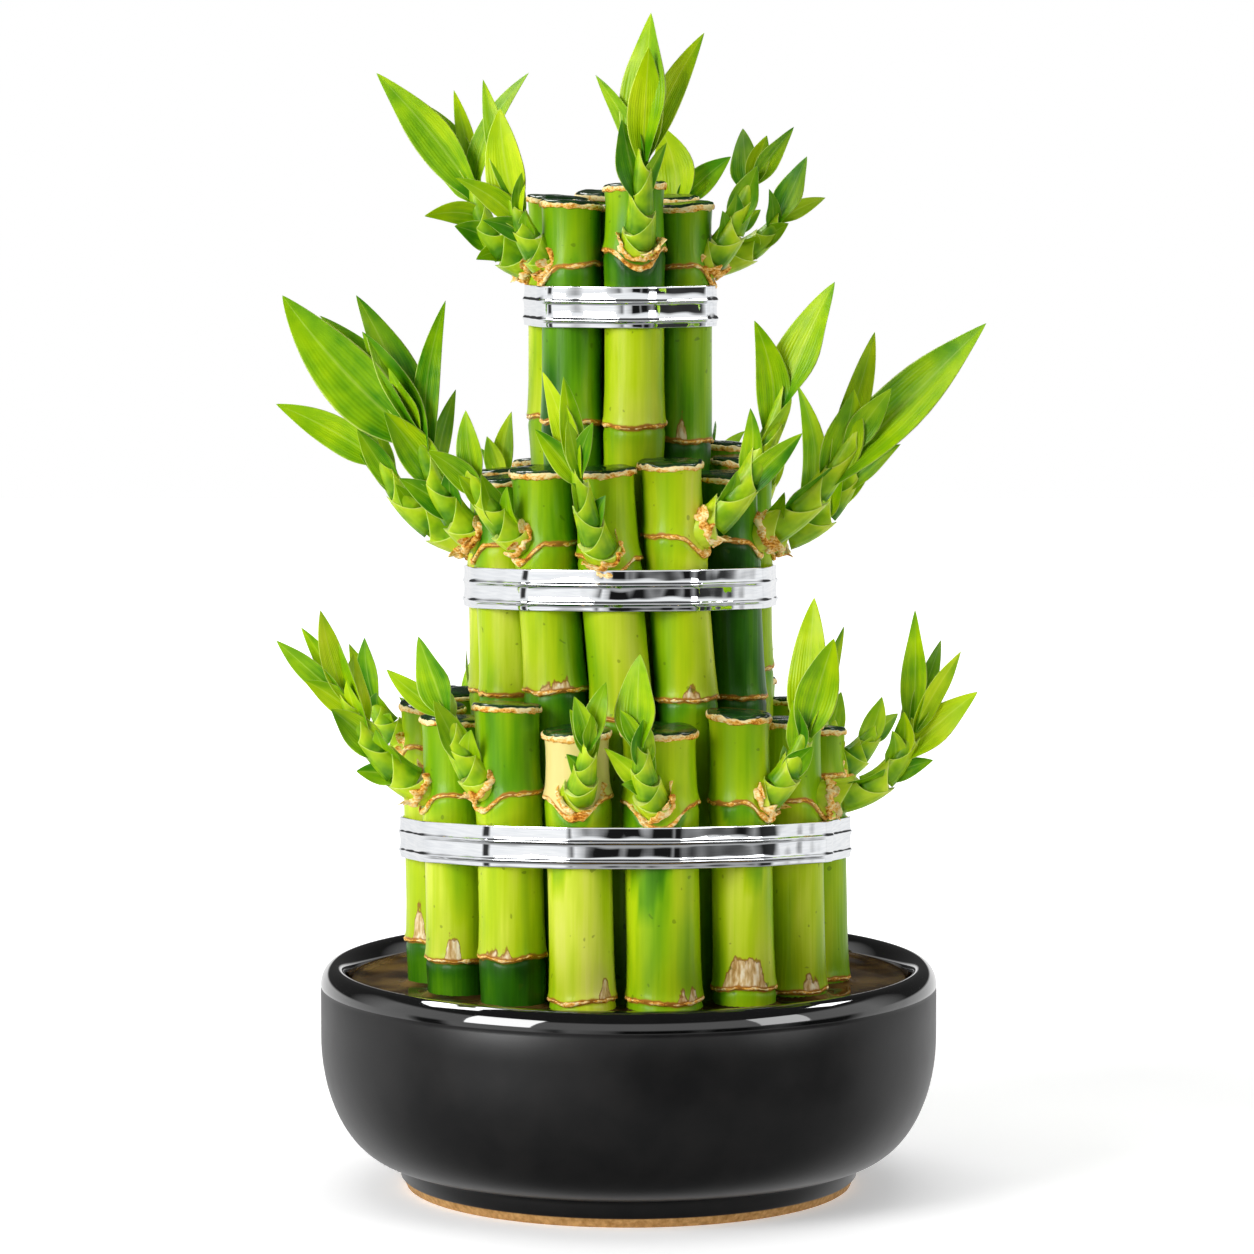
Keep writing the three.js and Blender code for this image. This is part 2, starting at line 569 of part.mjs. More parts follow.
function makeBand({ ring, bottom, rise, stepsPerCane }) {
  const count = canes[ring].length * stepsPerCane;
  const loop = bandOutline(ring, bottom + BAND_HEIGHT / 2, count);
  const corners = [];
  const points = loop.flatMap(({ normal, edge }) => BAND_PROFILE.flatMap(([proud, height]) => {
    const point = edge.clone().addScaledVector(normal, proud);
    return [point.x, point.y, height - rise * point.y];
  }));
  const rows = BAND_PROFILE.length;
  for (let i = 0; i < count; i += 1) {
    for (let j = 0; j < rows; j += 1) {
      const next = ((i + 1) % count) * rows;
      const above = (j + 1) % rows;
      corners.push(i * rows + j, next + j, next + above);
      corners.push(i * rows + j, next + above, i * rows + above);
    }
  }
  const geometry = new THREE.BufferGeometry();
  geometry.setAttribute("position", new THREE.Float32BufferAttribute(points, 3));
  geometry.setIndex(corners);
  const mesh = new THREE.Mesh(toGeometry(toSolid(geometry)), finishes.band);
  mesh.position.z = bottom;
  return mesh;
}

// The whole object
function named(mesh, name) {
  mesh.name = name;
  return mesh;
}

const tower = new THREE.Group();
tower.add(named(makeBowl(), "bowl"));
tower.add(named(makeWater(), "water"));
for (const [name, band] of Object.entries(bands)) {
  tower.add(named(makeBand(band), name));
}
for (const [ringName, ring] of Object.entries(canes)) {
  ring.forEach((cane, i) => {
    tower.add(named(makeCane(ringName, cane), `${ringName}_cane_${i + 1}`));
  });
}

export default tower;
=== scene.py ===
"""Lucky bamboo in a black bowl: three rings of cut canes with leafy shoots, bound by chromed bands.

Lengths are in millimetres until a mesh is made, with the same frame as the solids: z up, the front
towards -y, the origin under the middle of the bowl. Angles are degrees from the front, positive to
the right.
"""

import bpy
import numpy as np
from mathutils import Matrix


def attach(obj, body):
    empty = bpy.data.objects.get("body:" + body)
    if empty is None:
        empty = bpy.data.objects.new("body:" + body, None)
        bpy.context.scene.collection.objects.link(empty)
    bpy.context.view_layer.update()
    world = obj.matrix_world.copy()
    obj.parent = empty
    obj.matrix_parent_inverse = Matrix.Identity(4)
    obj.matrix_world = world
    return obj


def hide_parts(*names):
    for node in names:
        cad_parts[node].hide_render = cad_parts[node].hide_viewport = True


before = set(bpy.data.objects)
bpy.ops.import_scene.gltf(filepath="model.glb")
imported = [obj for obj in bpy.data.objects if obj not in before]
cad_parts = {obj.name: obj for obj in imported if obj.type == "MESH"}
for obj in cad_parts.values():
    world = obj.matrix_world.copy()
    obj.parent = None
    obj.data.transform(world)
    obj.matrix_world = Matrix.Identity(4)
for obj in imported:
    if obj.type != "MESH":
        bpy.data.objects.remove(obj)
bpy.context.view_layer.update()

MM = 0.001
UP = np.array([0.0, 0.0, 1.0])

# The bowl
BOWL_RADIUS = 75.0
BOWL_HEIGHT = 54.3
RIM_WIDTH = 7.0
RIM_LINE = 49.4
WALL_START = 37.0
BELLY_HALF_WIDTH = 18.0
BELLY_HALF_HEIGHT = 30.0
FOOT_RADIUS = 54.3
FOOT_WAIST = 56.2
FOOT_RING_WIDTH = 8.0
FOOT_RECESS = 3.0
BARE_CLAY = 2.3
FLOOR_INSIDE = 10.0
INNER_WALL_START = 40.0
INNER_BELLY_HALF_WIDTH = 13.5
INNER_START = BOWL_RADIUS - RIM_WIDTH - INNER_BELLY_HALF_WIDTH
WATER_TOP = 50.0
WATER_CREEP = 1.1
WALL_GAP = 0.35
HUB_RADIUS = 20.0
BOWL_COLUMNS = 160
WATER_COLUMNS = 360

# The bundle's lean, and the rings of canes: each one's radius, its turn per millimetre above
# TURN_START, and how much wider it gets from SPREAD_START to SPREAD_END
LEAN = -2.1
LEAN_START = 50.0
LEAN_END = 150.0
TURN_START = 125.0
SPREAD_START = 170.0
SPREAD_END = 190.0
RINGS = {
    "centre": dict(radius=0.0, turn=0.0, spread=0.0),
    "inner": dict(radius=14.75, turn=0.0, spread=0.9),
    "middle": dict(radius=29.7, turn=-0.13, spread=0.0),
    "outer": dict(radius=46.2, turn=0.0, spread=0.0),
}
CANE_FOOT = 10.35
ROOT_DEPTH = 3.0

# Shoots: the stem's end as (out, sideways, up) from its root, the knee that its curve bends at as
# shares of that reach (level, up), the side that its blades face, and each leaf as (place along the
# stem, tip out, tip sideways, tip up, width, bow). The bow is 0 for a straight leaf and 1 for one
# that leaves along the stem, and is BOW where it isn't given, as the knee is KNEE. The tone is how
# light the leaves are from 0 to 1.
BOW = 0.7
KNEE = (0.6, 0.15)
SHOOTS = {
    "top_left": dict(stem=(15.8, 3, 19.4), knee=(0.85, 0.05), face=95, leaves=[
        (1, 23.4, 2, 26.6, 10, 0.25), (1, 11.4, -5, 18.6, 5, 1), (1, 5.4, -4, 22.6, 4.5),
        (1, -13.6, 3, 26.6, 5.5, 0.95), (0.8, 12.7, 7, -1, 5.5, 0.5), (0.9, 9.5, -5, 5.3, 5),
        (0.5, 9.5, 5, 4, 6.5), (0.4, 6, 5, -2.3, 4.5)]),
    "top_front_left": dict(stem=(10, 0, 16), face=80, leaves=[
        (0.9, 4, 1, 24, 9.8, 1.1), (1, 5.9, -8, 28.3, 5.5, 1), (0.85, 0, 6, 10, 3.5),
        (0.55, 2, 6, 7, 4), (0.75, 16, 1, 11, 5.5), (0.6, 11, 2, 4, 5), (1, 1, -4, 12, 5)]),
    "top_front": dict(stem=(9, -0.5, 24), face=-11, leaves=[
        (1, 0, 1.9, 31.5, 11.5, 0.5), (1, 4, 0.6, 23.4, 8), (0.7, 4, -5.6, 17.2, 7.8, -0.3),
        (1, -5, -10.4, 17, 5, 0.4), (1, -3, 15.3, 27, 6.5, 0.4), (0.7, 5, 5, 12, 4)]),
    "top_back": dict(stem=(14, -10.7, 15), face=-150, leaves=[
        (0.95, -2, 4, 19, 11), (1, 7, -10.2, 10, 6.5, 0.3), (0.6, 4, 5, 7, 5)]),
    "top_right": dict(stem=(13.2, -2, 22), face=-85, leaves=[
        (0.95, -2.5, 4, 12.5, 7, 0), (1, 3, 0, 9, 5), (1, 9.5, -1, 11, 5.5, 0.3),
        (0.65, 5, -4, 13, 7), (0.5, 2, -6, 10, 5.5), (0.4, 0, -6, 8, 4.5),
        (0.55, 6.5, 5, 5, 4.5, 0.3)]),
    "top_far_right": dict(stem=(23.3, -4, 12), knee=(0.75, 0), face=-100, leaves=[
        (1, 6, -1, 14, 7), (1, 11.3, 2, 4, 4, 0.3), (0.85, -1.9, -4, 9.5, 4),
        (0.65, 6.4, -5, 4.8, 5), (0.5, 6.3, 1, 0.9, 4.5), (0.5, 2.3, -5, 3.9, 5.5)]),
    "middle_far_left": dict(stem=(24, 9, 22), knee=(0.7, 0.05), face=110, leaves=[
        (1, 23, 8, 11.2, 8, 0.25), (0.8, 5.5, 8, 13, 5.5), (0.7, 9, 4, 10, 4), (1, 9, -3, 13, 5),
        (0.45, 5, 6, 9, 5), (0.3, 5, 2, 1, 5), (0.8, 5, -5, 13, 5)]),
    "middle_left": dict(stem=(17, 2, 28), face=90, tone=0.2, leaves=[
        (1, 31.5, 0, 31, 14, -0.35), (1, 23, -6, 26, 7.5, 0.9), (1, 14, -2, 31, 10, 1.2),
        (0.9, 13.8, 2, 27, 9, 1.5), (0.85, -5.4, 2, 36.6, 6, 0.65), (0.75, -6, -6, 19, 4.5, 0.3),
        (1, 6, 6, 14, 6), (0.7, 11.5, 6, 16, 8.5), (0.4, 13, 4, 9, 6.5), (0.4, 1, 6, 12, 5)]),
    "middle_front_left": dict(stem=(14, -6, 19), face=55, leaves=[
        (0.8, 12, -3, 9, 6), (0.9, 1, -1, 15.5, 5.8, 0.5), (0.6, 8, -1, 8, 5), (0.2, 5, 4, 12, 5),
        (0.2, 6, -1, 4, 5), (0.35, 8, 2, 13, 6)]),
    "middle_back_left": dict(stem=(8, 4, 14), face=150, leaves=[
        (1, 2, 3, 11, 5.5), (1, 2, -4, 17, 5), (0.9, 8, 2, 10, 4), (0.75, 8, -2, 15, 4.5)]),
    "middle_front": dict(stem=(9, -7, 22), face=2, leaves=[
        (1, 0, -8, 22, 6), (1, 2, -3, 21, 5.5), (1, 5, -2, 11, 4.5), (1, 5, 4, 10.5, 4.5),
        (0.95, 2, -10, 10.5, 5.5, 0.3), (0.7, 4, -3, 6, 5.5), (0.5, 3, 3.5, 8, 5)]),
    "middle_front_right": dict(stem=(21, 8, 35), face=-65, leaves=[
        (1, 10, 5, 24.6, 10.5, 0.9), (0.85, -3.6, -4, 24, 7.8, 0.9), (0.7, 8, -1, 13, 4.5),
        (0.6, 1, -4, 15, 5.5), (0.5, 15, 0, 13, 6, 0.3), (0.3, 5, -4, 10, 5.5), (0.4, 5, 2, 7, 5)]),
    "middle_back_right": dict(stem=(11, -3, 16), face=-125, leaves=[
        (0.95, 1, -1, 9, 4.5), (0.8, 8, 2, 8, 4), (0.9, 0, 5, 11, 5), (0.7, 1, -5, 9, 4)]),
    "middle_right": dict(stem=(28, 0, 29), face=-84, leaves=[
        (0.5, -3.5, 1, 27.5, 5.8, 0.8), (0.7, 5, -4, 20, 9), (0.75, 8.3, 2, 31.5, 7.5, 0.2),
        (0.7, 36, 3, 35.5, 12.8, 0), (0.9, 9, -5, 12, 6.5), (0.3, 11, -3, 13, 7),
        (0.2, 3, -6, 9, 5), (0.7, 2, 6, 17, 5)]),
    "middle_far_right": dict(stem=(24, -3, 20), knee=(0.75, 0), face=-98, leaves=[
        (0.8, 12, -6, 10, 5, 0.6), (0.6, 11.5, 2, 12.2, 5, 0.7), (1, 11, 3, 5, 4.5),
        (0.5, 3.5, -7, 12.5, 6.5), (0.35, 5.5, -1, 3.3, 5), (0.95, 8, 5, 10, 5)]),
    "low_left": dict(stem=(22.4, -2, 25), face=78, leaves=[
        (1, 15.3, -1, 11.8, 6, 0), (1, 8.6, -6, 14.3, 4.5), (1, 5, 1, 19, 6.5, 1.1),
        (0.75, 6.8, -3.4, 24.5, 9, 1.2), (0.9, 11, 2, 6.5, 5.5, 0.6), (0.8, 0, -4, 16, 6.5),
        (0.75, 4, 3, 12, 5.5), (0.6, 11, 4, 10, 7.5), (0.4, 9, 0, -0.4, 5.5, 0.1),
        (0.4, 5, 5, 10, 6)]),
    "low_far_left": dict(stem=(11, 2, 12), face=108, leaves=[
        (0.9, 2, 1, 16, 5.5), (0.8, -2, 6, 5, 4), (1, 7, -4, 12, 5), (0.55, -2, 4, 3.5, 4.5),
        (0.8, 10, -3, 9, 5)]),
    "low_front_left": dict(stem=(10, -5, 20), face=55, leaves=[
        (1, 5.8, -2, 16.2, 8.5, 0.3), (1, 9.6, -10, 8, 5, -0.2), (0.5, 9.5, 1, 15, 6.5),
        (0.9, -3, -4, 6, 4.5), (0.4, 3, 5, 10, 5.5)]),
    "low_front": dict(stem=(8, 4, 14), face=6, leaves=[
        (1, 0, 4, 14, 5.5), (1, 4, -3, 11, 5), (0.9, 2, -4, 10, 4.5), (0.6, 0, 4, 12, 4.5),
        (0.6, 2, -4, 5, 4), (1, 5, 1, 7, 4)]),
    "low_front_middle": dict(stem=(8, -4, 17), face=6, leaves=[
        (1, 0, 0.6, 19.4, 9.8, 0.5), (1, 1, -4, 6.5, 4), (0.8, 5, 1, 10, 6.5),
        (0.5, 4, -9.5, 9, 5.5, 0.3), (0.6, 2, 2, 8, 4), (0.4, 4, -6, 2, 4)]),
    "low_front_right": dict(stem=(12, 3, 18), face=-62, leaves=[
        (1, 0, 2.8, 30, 9, 0), (1, 7, -1, 21, 9.2, -1.5), (1, 4.6, 9.5, 23, 5, -1.2),
        (0.8, 0, -4, 12, 5.5), (0.55, 8, -3, 7, 5.5), (0.5, -2, 3, 7, 4.5)]),
    "low_right": dict(stem=(25.3, 0, 19), knee=(0.8, -0.1), face=-84, leaves=[
        (1, -0.5, 0, 26, 6.5, 0.3), (1, 5.5, 5, 18.4, 5), (1, 10.5, -1, 16.3, 5.5, 0.3),
        (0.8, 17, 2, 13.8, 8, 0.2), (0.6, 10.5, 0, 3.2, 4.8, 0.4), (0.85, -0.8, 6, 14.6, 5.5),
        (0.8, -0.1, -6, 9.8, 5), (0.7, -1.1, -6, 8.2, 5), (0.25, 9, -5, 7, 6)]),
    "low_far_right": dict(stem=(12, -1, 10), face=-112, leaves=[
        (0.7, 3.4, -2, 12, 5.5), (0.8, 8, 1, 6, 4.5), (0.6, 1, -4, 4, 4.5), (0.95, 2, 4, 6, 4.5)]),
}


def cane(angle, radius, top, nodes, tones, heading=None, shoot=None, inset=0.0, peels=(), marks=()):
    """One cane: its place round the ring, its size, its nodes, how light each of its three lengths
    is from 0 to 1, and its shoot. Each torn patch over the lower node is (angle, half width in
    degrees, height), and each dark mark under the upper node is (angle, half width in degrees at
    the node, length). A mark comes to a point, unless it is so wide that it goes all round."""
    return dict(angle=angle, radius=radius, top=top, nodes=nodes, tones=tones, heading=heading,
                shoot=shoot, inset=inset, peels=peels, marks=marks)


CANES = {
    "centre": [cane(0, 7.2, 238, (185, 226), (0.5, 0.4, 0.4))],
    "inner": [
        cane(12.7, 7.2, 243.3, (186, 228), (0.62, 0.8, 0.45), 11, "top_front",
             marks=[(0, 500, 15), (0, 500, 13)]),
        cane(72.7, 7.2, 238.4, (182, 224), (0.22, 0.5, 0.4), 85, "top_right",
             peels=[(0, 9, 6.5)]),
        cane(132.7, 7.2, 240, (184, 224), (0.6, 0.6, 0.5), 100, "top_far_right"),
        cane(192.7, 7.2, 241, (186, 225), (0.5, 0.7, 0.5), 150, "top_back"),
        cane(252.7, 7.2, 240, (187, 224), (0.6, 0.75, 0.5), -95, "top_left"),
        cane(312.7, 7.2, 239, (187, 224), (0.4, 0.42, 0.47), -80, "top_front_left"),
    ],
    "middle": [
        cane(-0.8, 7.4, 176.4, (118, 156), (0.5, 0.68, 0.6), -2, "middle_front"),
        cane(30.5, 7.4, 178, (122, 161), (0.45, 0.76, 0.72), 65, "middle_front_right",
             peels=[(10, 16, 3.2)]),
        cane(66, 7.2, 174.3, (121, 159), (0.2, 0.2, 0.3), 84, "middle_right"),
        cane(100, 7.3, 177, (126, 158), (0.6, 0.7, 0.5), 98, "middle_far_right"),
        cane(132, 6.9, 180, (120, 157), (0.4, 0.5, 0.5), 125, "middle_back_right"),
        cane(163, 7.2, 176, (123, 158), (0.6, 0.7, 0.5), 160, "middle_far_right"),
        cane(194.5, 6.9, 178, (119, 157), (0.4, 0.6, 0.6), 198, "middle_front_left"),
        cane(226, 7.2, 175.5, (122, 156), (0.5, 0.7, 0.4), 210, "middle_back_left"),
        cane(266, 7.35, 174, (121, 157), (0.6, 0.75, 0.4), 250, "middle_far_left"),
        cane(296, 7.4, 173, (122, 158), (0.6, 0.78, 0.45), 270, "middle_left"),
        cane(328, 7.4, 176, (124, 159), (0.36, 0.76, 0.55), -55, "middle_front_left",
             peels=[(4, 34, 2.2)]),
    ],
    "outer": [
        cane(-13.5, 7.7, 116.1, (53, 101), (0.84, 0.85, 1.28), -6, "low_front",
             peels=[(42, 13, 4.5)], marks=[(-44, 70, 25)]),
        cane(10.9, 8.8, 116.4, (53, 99), (0.7, 0.7, 0.62), -6, "low_front_middle", inset=1.3,
             peels=[(28, 10, 2.5), (48, 8, 3)], marks=[(-27, 74, 29)]),
        cane(36.4, 7.3, 119.4, (55, 99), (0.64, 0.76, 0.66), 62, "low_front_right",
             peels=[(2, 42, 7)], marks=[(25, 70, 24)]),
        cane(59.4, 7.5, 116, (52, 98), (0.6, 0.74, 0.6), 84, "low_right", peels=[(30, 18, 4)]),
        cane(84, 7.5, 112.3, (52, 102), (0.5, 0.55, 0.7), 112, "low_far_right"),
        cane(111, 7.5, 117, (57, 100), (0.3, 0.7, 0.6), 150, "low_far_right"),
        cane(139, 7.6, 120, (60, 102), (0.3, 0.6, 0.5), 165, "low_far_left"),
        cane(166, 7.5, 116, (56, 99), (0.5, 0.8, 0.7), 170, "low_front_right",
             marks=[(190, 70, 26)]),
        cane(194, 7.6, 121, (62, 103), (0.2, 0.65, 0.5), 190, "low_front_left"),
        cane(221, 7.5, 118, (54, 100), (0.6, 0.75, 0.7), 205, "low_far_left",
             marks=[(240, 60, 24)]),
        cane(249, 7.6, 119, (58, 101), (0.3, 0.7, 0.6), 215, "low_far_right"),
        cane(276, 7.6, 118, (61, 108), (0.4, 0.8, 0.7), 252, "low_far_left",
             peels=[(-34, 13, 8)]),
        cane(298.8, 7.6, 116.5, (59, 99), (0.2, 0.78, 0.6), 282, "low_left",
             peels=[(-8, 15, 6.5)]),
        cane(323.9, 7.8, 121.4, (62, 102), (0.18, 0.77, 0.43), 305, "low_front_left",
             peels=[(-25, 28, 2.2)]),
    ],
}

# Bands: the ring that each one binds, the height of its lower edge over the middle of the bundle,
# how much it rises for each millimetre to the front, and where its end laps over. The lap's length
# is in degrees.
BANDS = {
    "upper_band": dict(ring="inner", bottom=209.5, rise=0.0, lap=62),
    "middle_band": dict(ring="middle", bottom=141.6, rise=0.05, lap=76),
    "lower_band": dict(ring="outer", bottom=80.6, rise=0.077, lap=64),
}
BAND_GAP = 0.7
BAND_HEIGHT = 9.8
BAND_THICKNESS = 0.7
BAND_STEP = 0.8
BEAD_HEIGHTS = (1.75, 6.2)
BEAD_WIDTH = 0.42
BEAD_RISE = 0.35
HOLLOW_DEPTH = 0.14
LAP_LENGTH = 40.0
LAP_RISE = 0.45

# The studio: where the floor starts in front, and the camera's place, its tilt down in degrees, and
# its lens and sensor in millimetres
FLOOR_FRONT = -260.0
CAMERA_PLACE = (-0.4, -1215.3, 248.9)
CAMERA_TILT = 5.289
CAMERA_LENS = 144.5
CAMERA_SENSOR = 36.0

# The room's light as (place, light). The soft light goes from the front (0) to the back (1). What
# shines shows walls that go once round, from the back by the left, the front (0.5) and the right.
# The other three go from the floor (0) by the level (0.5) to the ceiling: how much of the walls
# shows, the light where they don't, and the light behind the object, which shows as BACK_SHOWS says
# from the front to the back.
SOFT_ROOM = [(0.0, 0.10), (0.42, 0.14), (0.62, 0.38), (0.8, 0.55)]
WALLS = [(0.0, 0.10), (0.13, 0.1), (0.16, 0.9), (0.25, 1.0), (0.268, 0.04), (0.295, 0.04),
         (0.31, 1.0), (0.40, 1.0), (0.425, 0.15), (0.44, 0.9), (0.48, 0.5), (0.495, 0.01),
         (0.56, 0.01), (0.575, 0.25), (0.59, 0.01), (0.62, 0.01), (0.66, 0.3), (0.69, 0.02),
         (0.745, 0.04), (0.77, 0.9), (0.83, 1.0), (0.855, 0.1), (0.9, 0.8), (1.0, 0.1)]
WALL_SHOWS = [(0.30, 0.0), (0.34, 1.0), (0.52, 1.0), (0.565, 0.0)]
ABOVE_WALLS = [(0.0, 0.12), (0.3, 0.45), (0.52, 0.95), (0.76, 0.95), (0.8, 0.08), (1.0, 0.08)]
BEHIND = [(0.0, 0.9), (0.53, 0.9), (0.555, 0.05), (1.0, 0.05)]
BACK_SHOWS = [(0.62, 0.0), (0.8, 1.0)]


# Shapes
def out_at(angle):
    """Level unit vectors away from the middle at an angle from the front."""
    turn = np.radians(angle)
    return np.stack([np.sin(turn), -np.cos(turn), np.zeros_like(turn)], -1)


def sideways_at(angle):
    """Level unit vectors to the right of out_at."""
    turn = np.radians(angle)
    return np.stack([np.cos(turn), np.sin(turn), np.zeros_like(turn)], -1)


def unit(vectors):
    """Vectors scaled to a length of 1."""
    return vectors / np.maximum(np.linalg.norm(vectors, axis=-1, keepdims=True), 1e-9)


def share_between(low, high, value):
    """0 below low, 1 above high, and a straight line between."""
    return np.clip((value - low) / (high - low), 0, 1)


def smooth(low, high, value):
    """0 below low, 1 above high, and a smooth step between."""
    share = share_between(low, high, value)
    return share * share * (3 - 2 * share)


def apart(angle, other):
    """Degrees from one direction to another, from -180 to 180."""
    return (np.asarray(angle) - other + 180) % 360 - 180


def drift(points, size, seed):
    """A wandering value of about -1 to 1: the sum of 20 sine waves about one size long, which run
    through the points in seeded directions."""
    rng = np.random.default_rng(seed)
    directions = rng.normal(size=(3, 20)) * 3.6 / np.asarray(size, float).reshape(-1, 1)
    waves = np.sin(points @ directions + rng.uniform(0, 2 * np.pi, 20))
    return waves.sum(-1) / 6.3


def tube(points, finish, start=None, end=None, **values):
    """A closed skin: rows of points, each closed on itself, with one more point at either end. The
    finish is one number, or one for each row of faces."""
    start = points[0].mean(0) if start is None else start
    end = points[-1].mean(0) if end is None else end
    return dict(points=points, finish=finish, poles=np.array([start, end]), values=values)


def ring_tube(points, finish, **values):
    """A closed skin like a tyre: rows of points, each closed on itself, the last beside the first."""
    return dict(points=points, finish=finish, poles=np.zeros((0, 3)), values=values)


def skin_faces(skin):
    """The four-cornered faces between the rows and the three-cornered ones at the poles."""
    rows, columns = skin["points"].shape[:2]
    index = np.arange(rows * columns).reshape(rows, columns)
    has_poles = len(skin["poles"]) > 0
    low = index[:-1] if has_poles else index
    high = index[1:] if has_poles else np.roll(index, -1, 0)
    quads = np.stack([low, np.roll(low, -1, 1), np.roll(high, -1, 1), high], -1).reshape(-1, 4)
    if not has_poles:
        return quads, np.zeros((0, 3), int)
    first, last = index[0], index[-1]
    start = np.full(columns, rows * columns)
    fans = [np.stack([start, np.roll(first, -1), first], -1),
            np.stack([start + 1, last, np.roll(last, -1)], -1)]
    return quads, np.concatenate(fans)


def signed_volume(corners, quads, fans):
    """Six times the volume that the faces enclose, negative if they face inwards."""
    halves = np.concatenate([quads[:, [0, 1, 2]], quads[:, [0, 2, 3]], fans])
    a, b, c = (corners[halves[:, i]] for i in range(3))
    return np.einsum("ij,ij->i", a, np.cross(b, c)).sum()


# What a mesh's corners carry for its finishes: how far a point is from a scar, whether it is above
# it, how far it is inside a torn patch, how light it is, with painted light and shade in places, and
# its place across and along a leaf
VALUE_NAMES = ("scar", "above", "peel", "tone", "across", "along")


def gather(skins):
    """The corners, faces and values of closed skins, joined for one mesh. The values at a pole are
    the means of the row beside it."""
    joined = dict(corners=[], loops=[], sizes=[], finish=[], **{name: [] for name in VALUE_NAMES})
    count = 0
    for skin in skins:
        rows, columns = skin["points"].shape[:2]
        own = np.concatenate([skin["points"].reshape(-1, 3), skin["poles"]])
        quads, fans = skin_faces(skin)
        if signed_volume(own - own.mean(0), quads, fans) < 0:
            quads, fans = quads[:, ::-1], fans[:, ::-1]
        of_rows = np.broadcast_to(skin["finish"], len(quads) // columns)
        of_ends = np.repeat([of_rows[0], of_rows[-1]], len(fans) // 2)
        joined["corners"].append(own)
        joined["loops"] += [(quads + count).ravel(), (fans + count).ravel()]
        joined["sizes"] += [np.full(len(quads), 4), np.full(len(fans), 3)]
        joined["finish"] += [np.repeat(of_rows, columns), of_ends]
        for name in VALUE_NAMES:
            grid = np.broadcast_to(skin["values"].get(name, 0.0), (rows, columns))
            ends = [grid[0].mean(), grid[-1].mean()] if len(skin["poles"]) else []
            joined[name] += [grid.ravel(), ends]
        count += len(own)
    return {name: np.concatenate(lists) for name, lists in joined.items()}


def make_piece(name, skins, finishes):
    """One mesh object from closed skins, with the finishes that their faces count."""
    joined = gather(skins)
    sizes = joined["sizes"]
    mesh = bpy.data.meshes.new(name)
    mesh.vertices.add(len(joined["corners"]))
    mesh.vertices.foreach_set("co", (joined["corners"] * MM).astype(np.float32).ravel())
    mesh.loops.add(len(joined["loops"]))
    mesh.loops.foreach_set("vertex_index", joined["loops"].astype(np.int32))
    mesh.polygons.add(len(sizes))
    mesh.polygons.foreach_set("loop_start", (np.cumsum(sizes) - sizes).astype(np.int32))
    mesh.polygons.foreach_set("material_index", joined["finish"].astype(np.int32))
    for value in VALUE_NAMES:
        if np.any(joined[value]):
            data = mesh.attributes.new(value, "FLOAT", "POINT").data
            data.foreach_set("value", joined[value].astype(np.float32))
    for finish in finishes:
        mesh.materials.append(finish)
    mesh.update(calc_edges=True)
    mesh.polygons.foreach_set("use_smooth", np.ones(len(sizes), bool))
    piece = bpy.data.objects.new(name, mesh)
    bpy.context.scene.collection.objects.link(piece)
    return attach(piece, "root")


def revolve(outline, columns):
    """Rows of points that turn an outline of (radius, height) once round the z axis."""
    outline = np.asarray(outline, float)
    angle = np.linspace(0, 360, columns, endpoint=False)
    rows = out_at(angle)[None] * outline[:, None, :1]
    return rows + UP * outline[:, None, 1:]


def quarter_belly(radius, height, half_width, half_height, steps):
    """The lower outer quarter of an ellipse about (radius, height), from its foot out and up."""
    turn = np.linspace(-np.pi / 2, 0, steps)
    return np.stack([radius + half_width * np.cos(turn), height + half_height * np.sin(turn)], -1)


# Materials
def paint(hexadecimal):
    """A colour as it looks on a screen, as linear light."""
    channels = np.array([int(hexadecimal[i:i + 2], 16) for i in (1, 3, 5)]) / 255
    return (*np.where(channels < 0.04045, channels / 12.92, ((channels + 0.055) / 1.055) ** 2.4), 1.0)


class Nodes:
    """A node tree with short calls. An input takes a number, a colour or a socket."""

    def __init__(self, tree):
        self.tree = tree

    def add(self, kind, settings=(), **inputs):
        """A new node with these settings. Its inputs go by name, or by number as i0, i1, i2."""
        node = self.tree.nodes.new("ShaderNode" + kind)
        for key, value in dict(settings).items():
            setattr(node, key, value)
        for key, value in inputs.items():
            numbered = key[0] == "i" and key[1:].isdigit()
            self.give(node.inputs[int(key[1:]) if numbered else key], value)
        return node

    def give(self, socket, value):
        if isinstance(value, bpy.types.NodeSocket):
            self.tree.links.new(value, socket)
        else:
            socket.default_value = value

    def math(self, operation, a, b=0.0, c=0.0):
        return self.add("Math", dict(operation=operation), i0=a, i1=b, i2=c).outputs[0]

    def ramp(self, share, *stops):
        """A ramp from stops of (place, screen colour) or (place, grey light)."""
        node = self.add("ValToRGB", Fac=share)
        elements = node.color_ramp.elements
        while len(elements) < len(stops):
            elements.new(0.5)
        for element, (place, colour) in zip(elements, stops):
            element.position = place
            element.color = paint(colour) if isinstance(colour, str) else (colour, colour, colour, 1.0)
        return node.outputs["Color"]


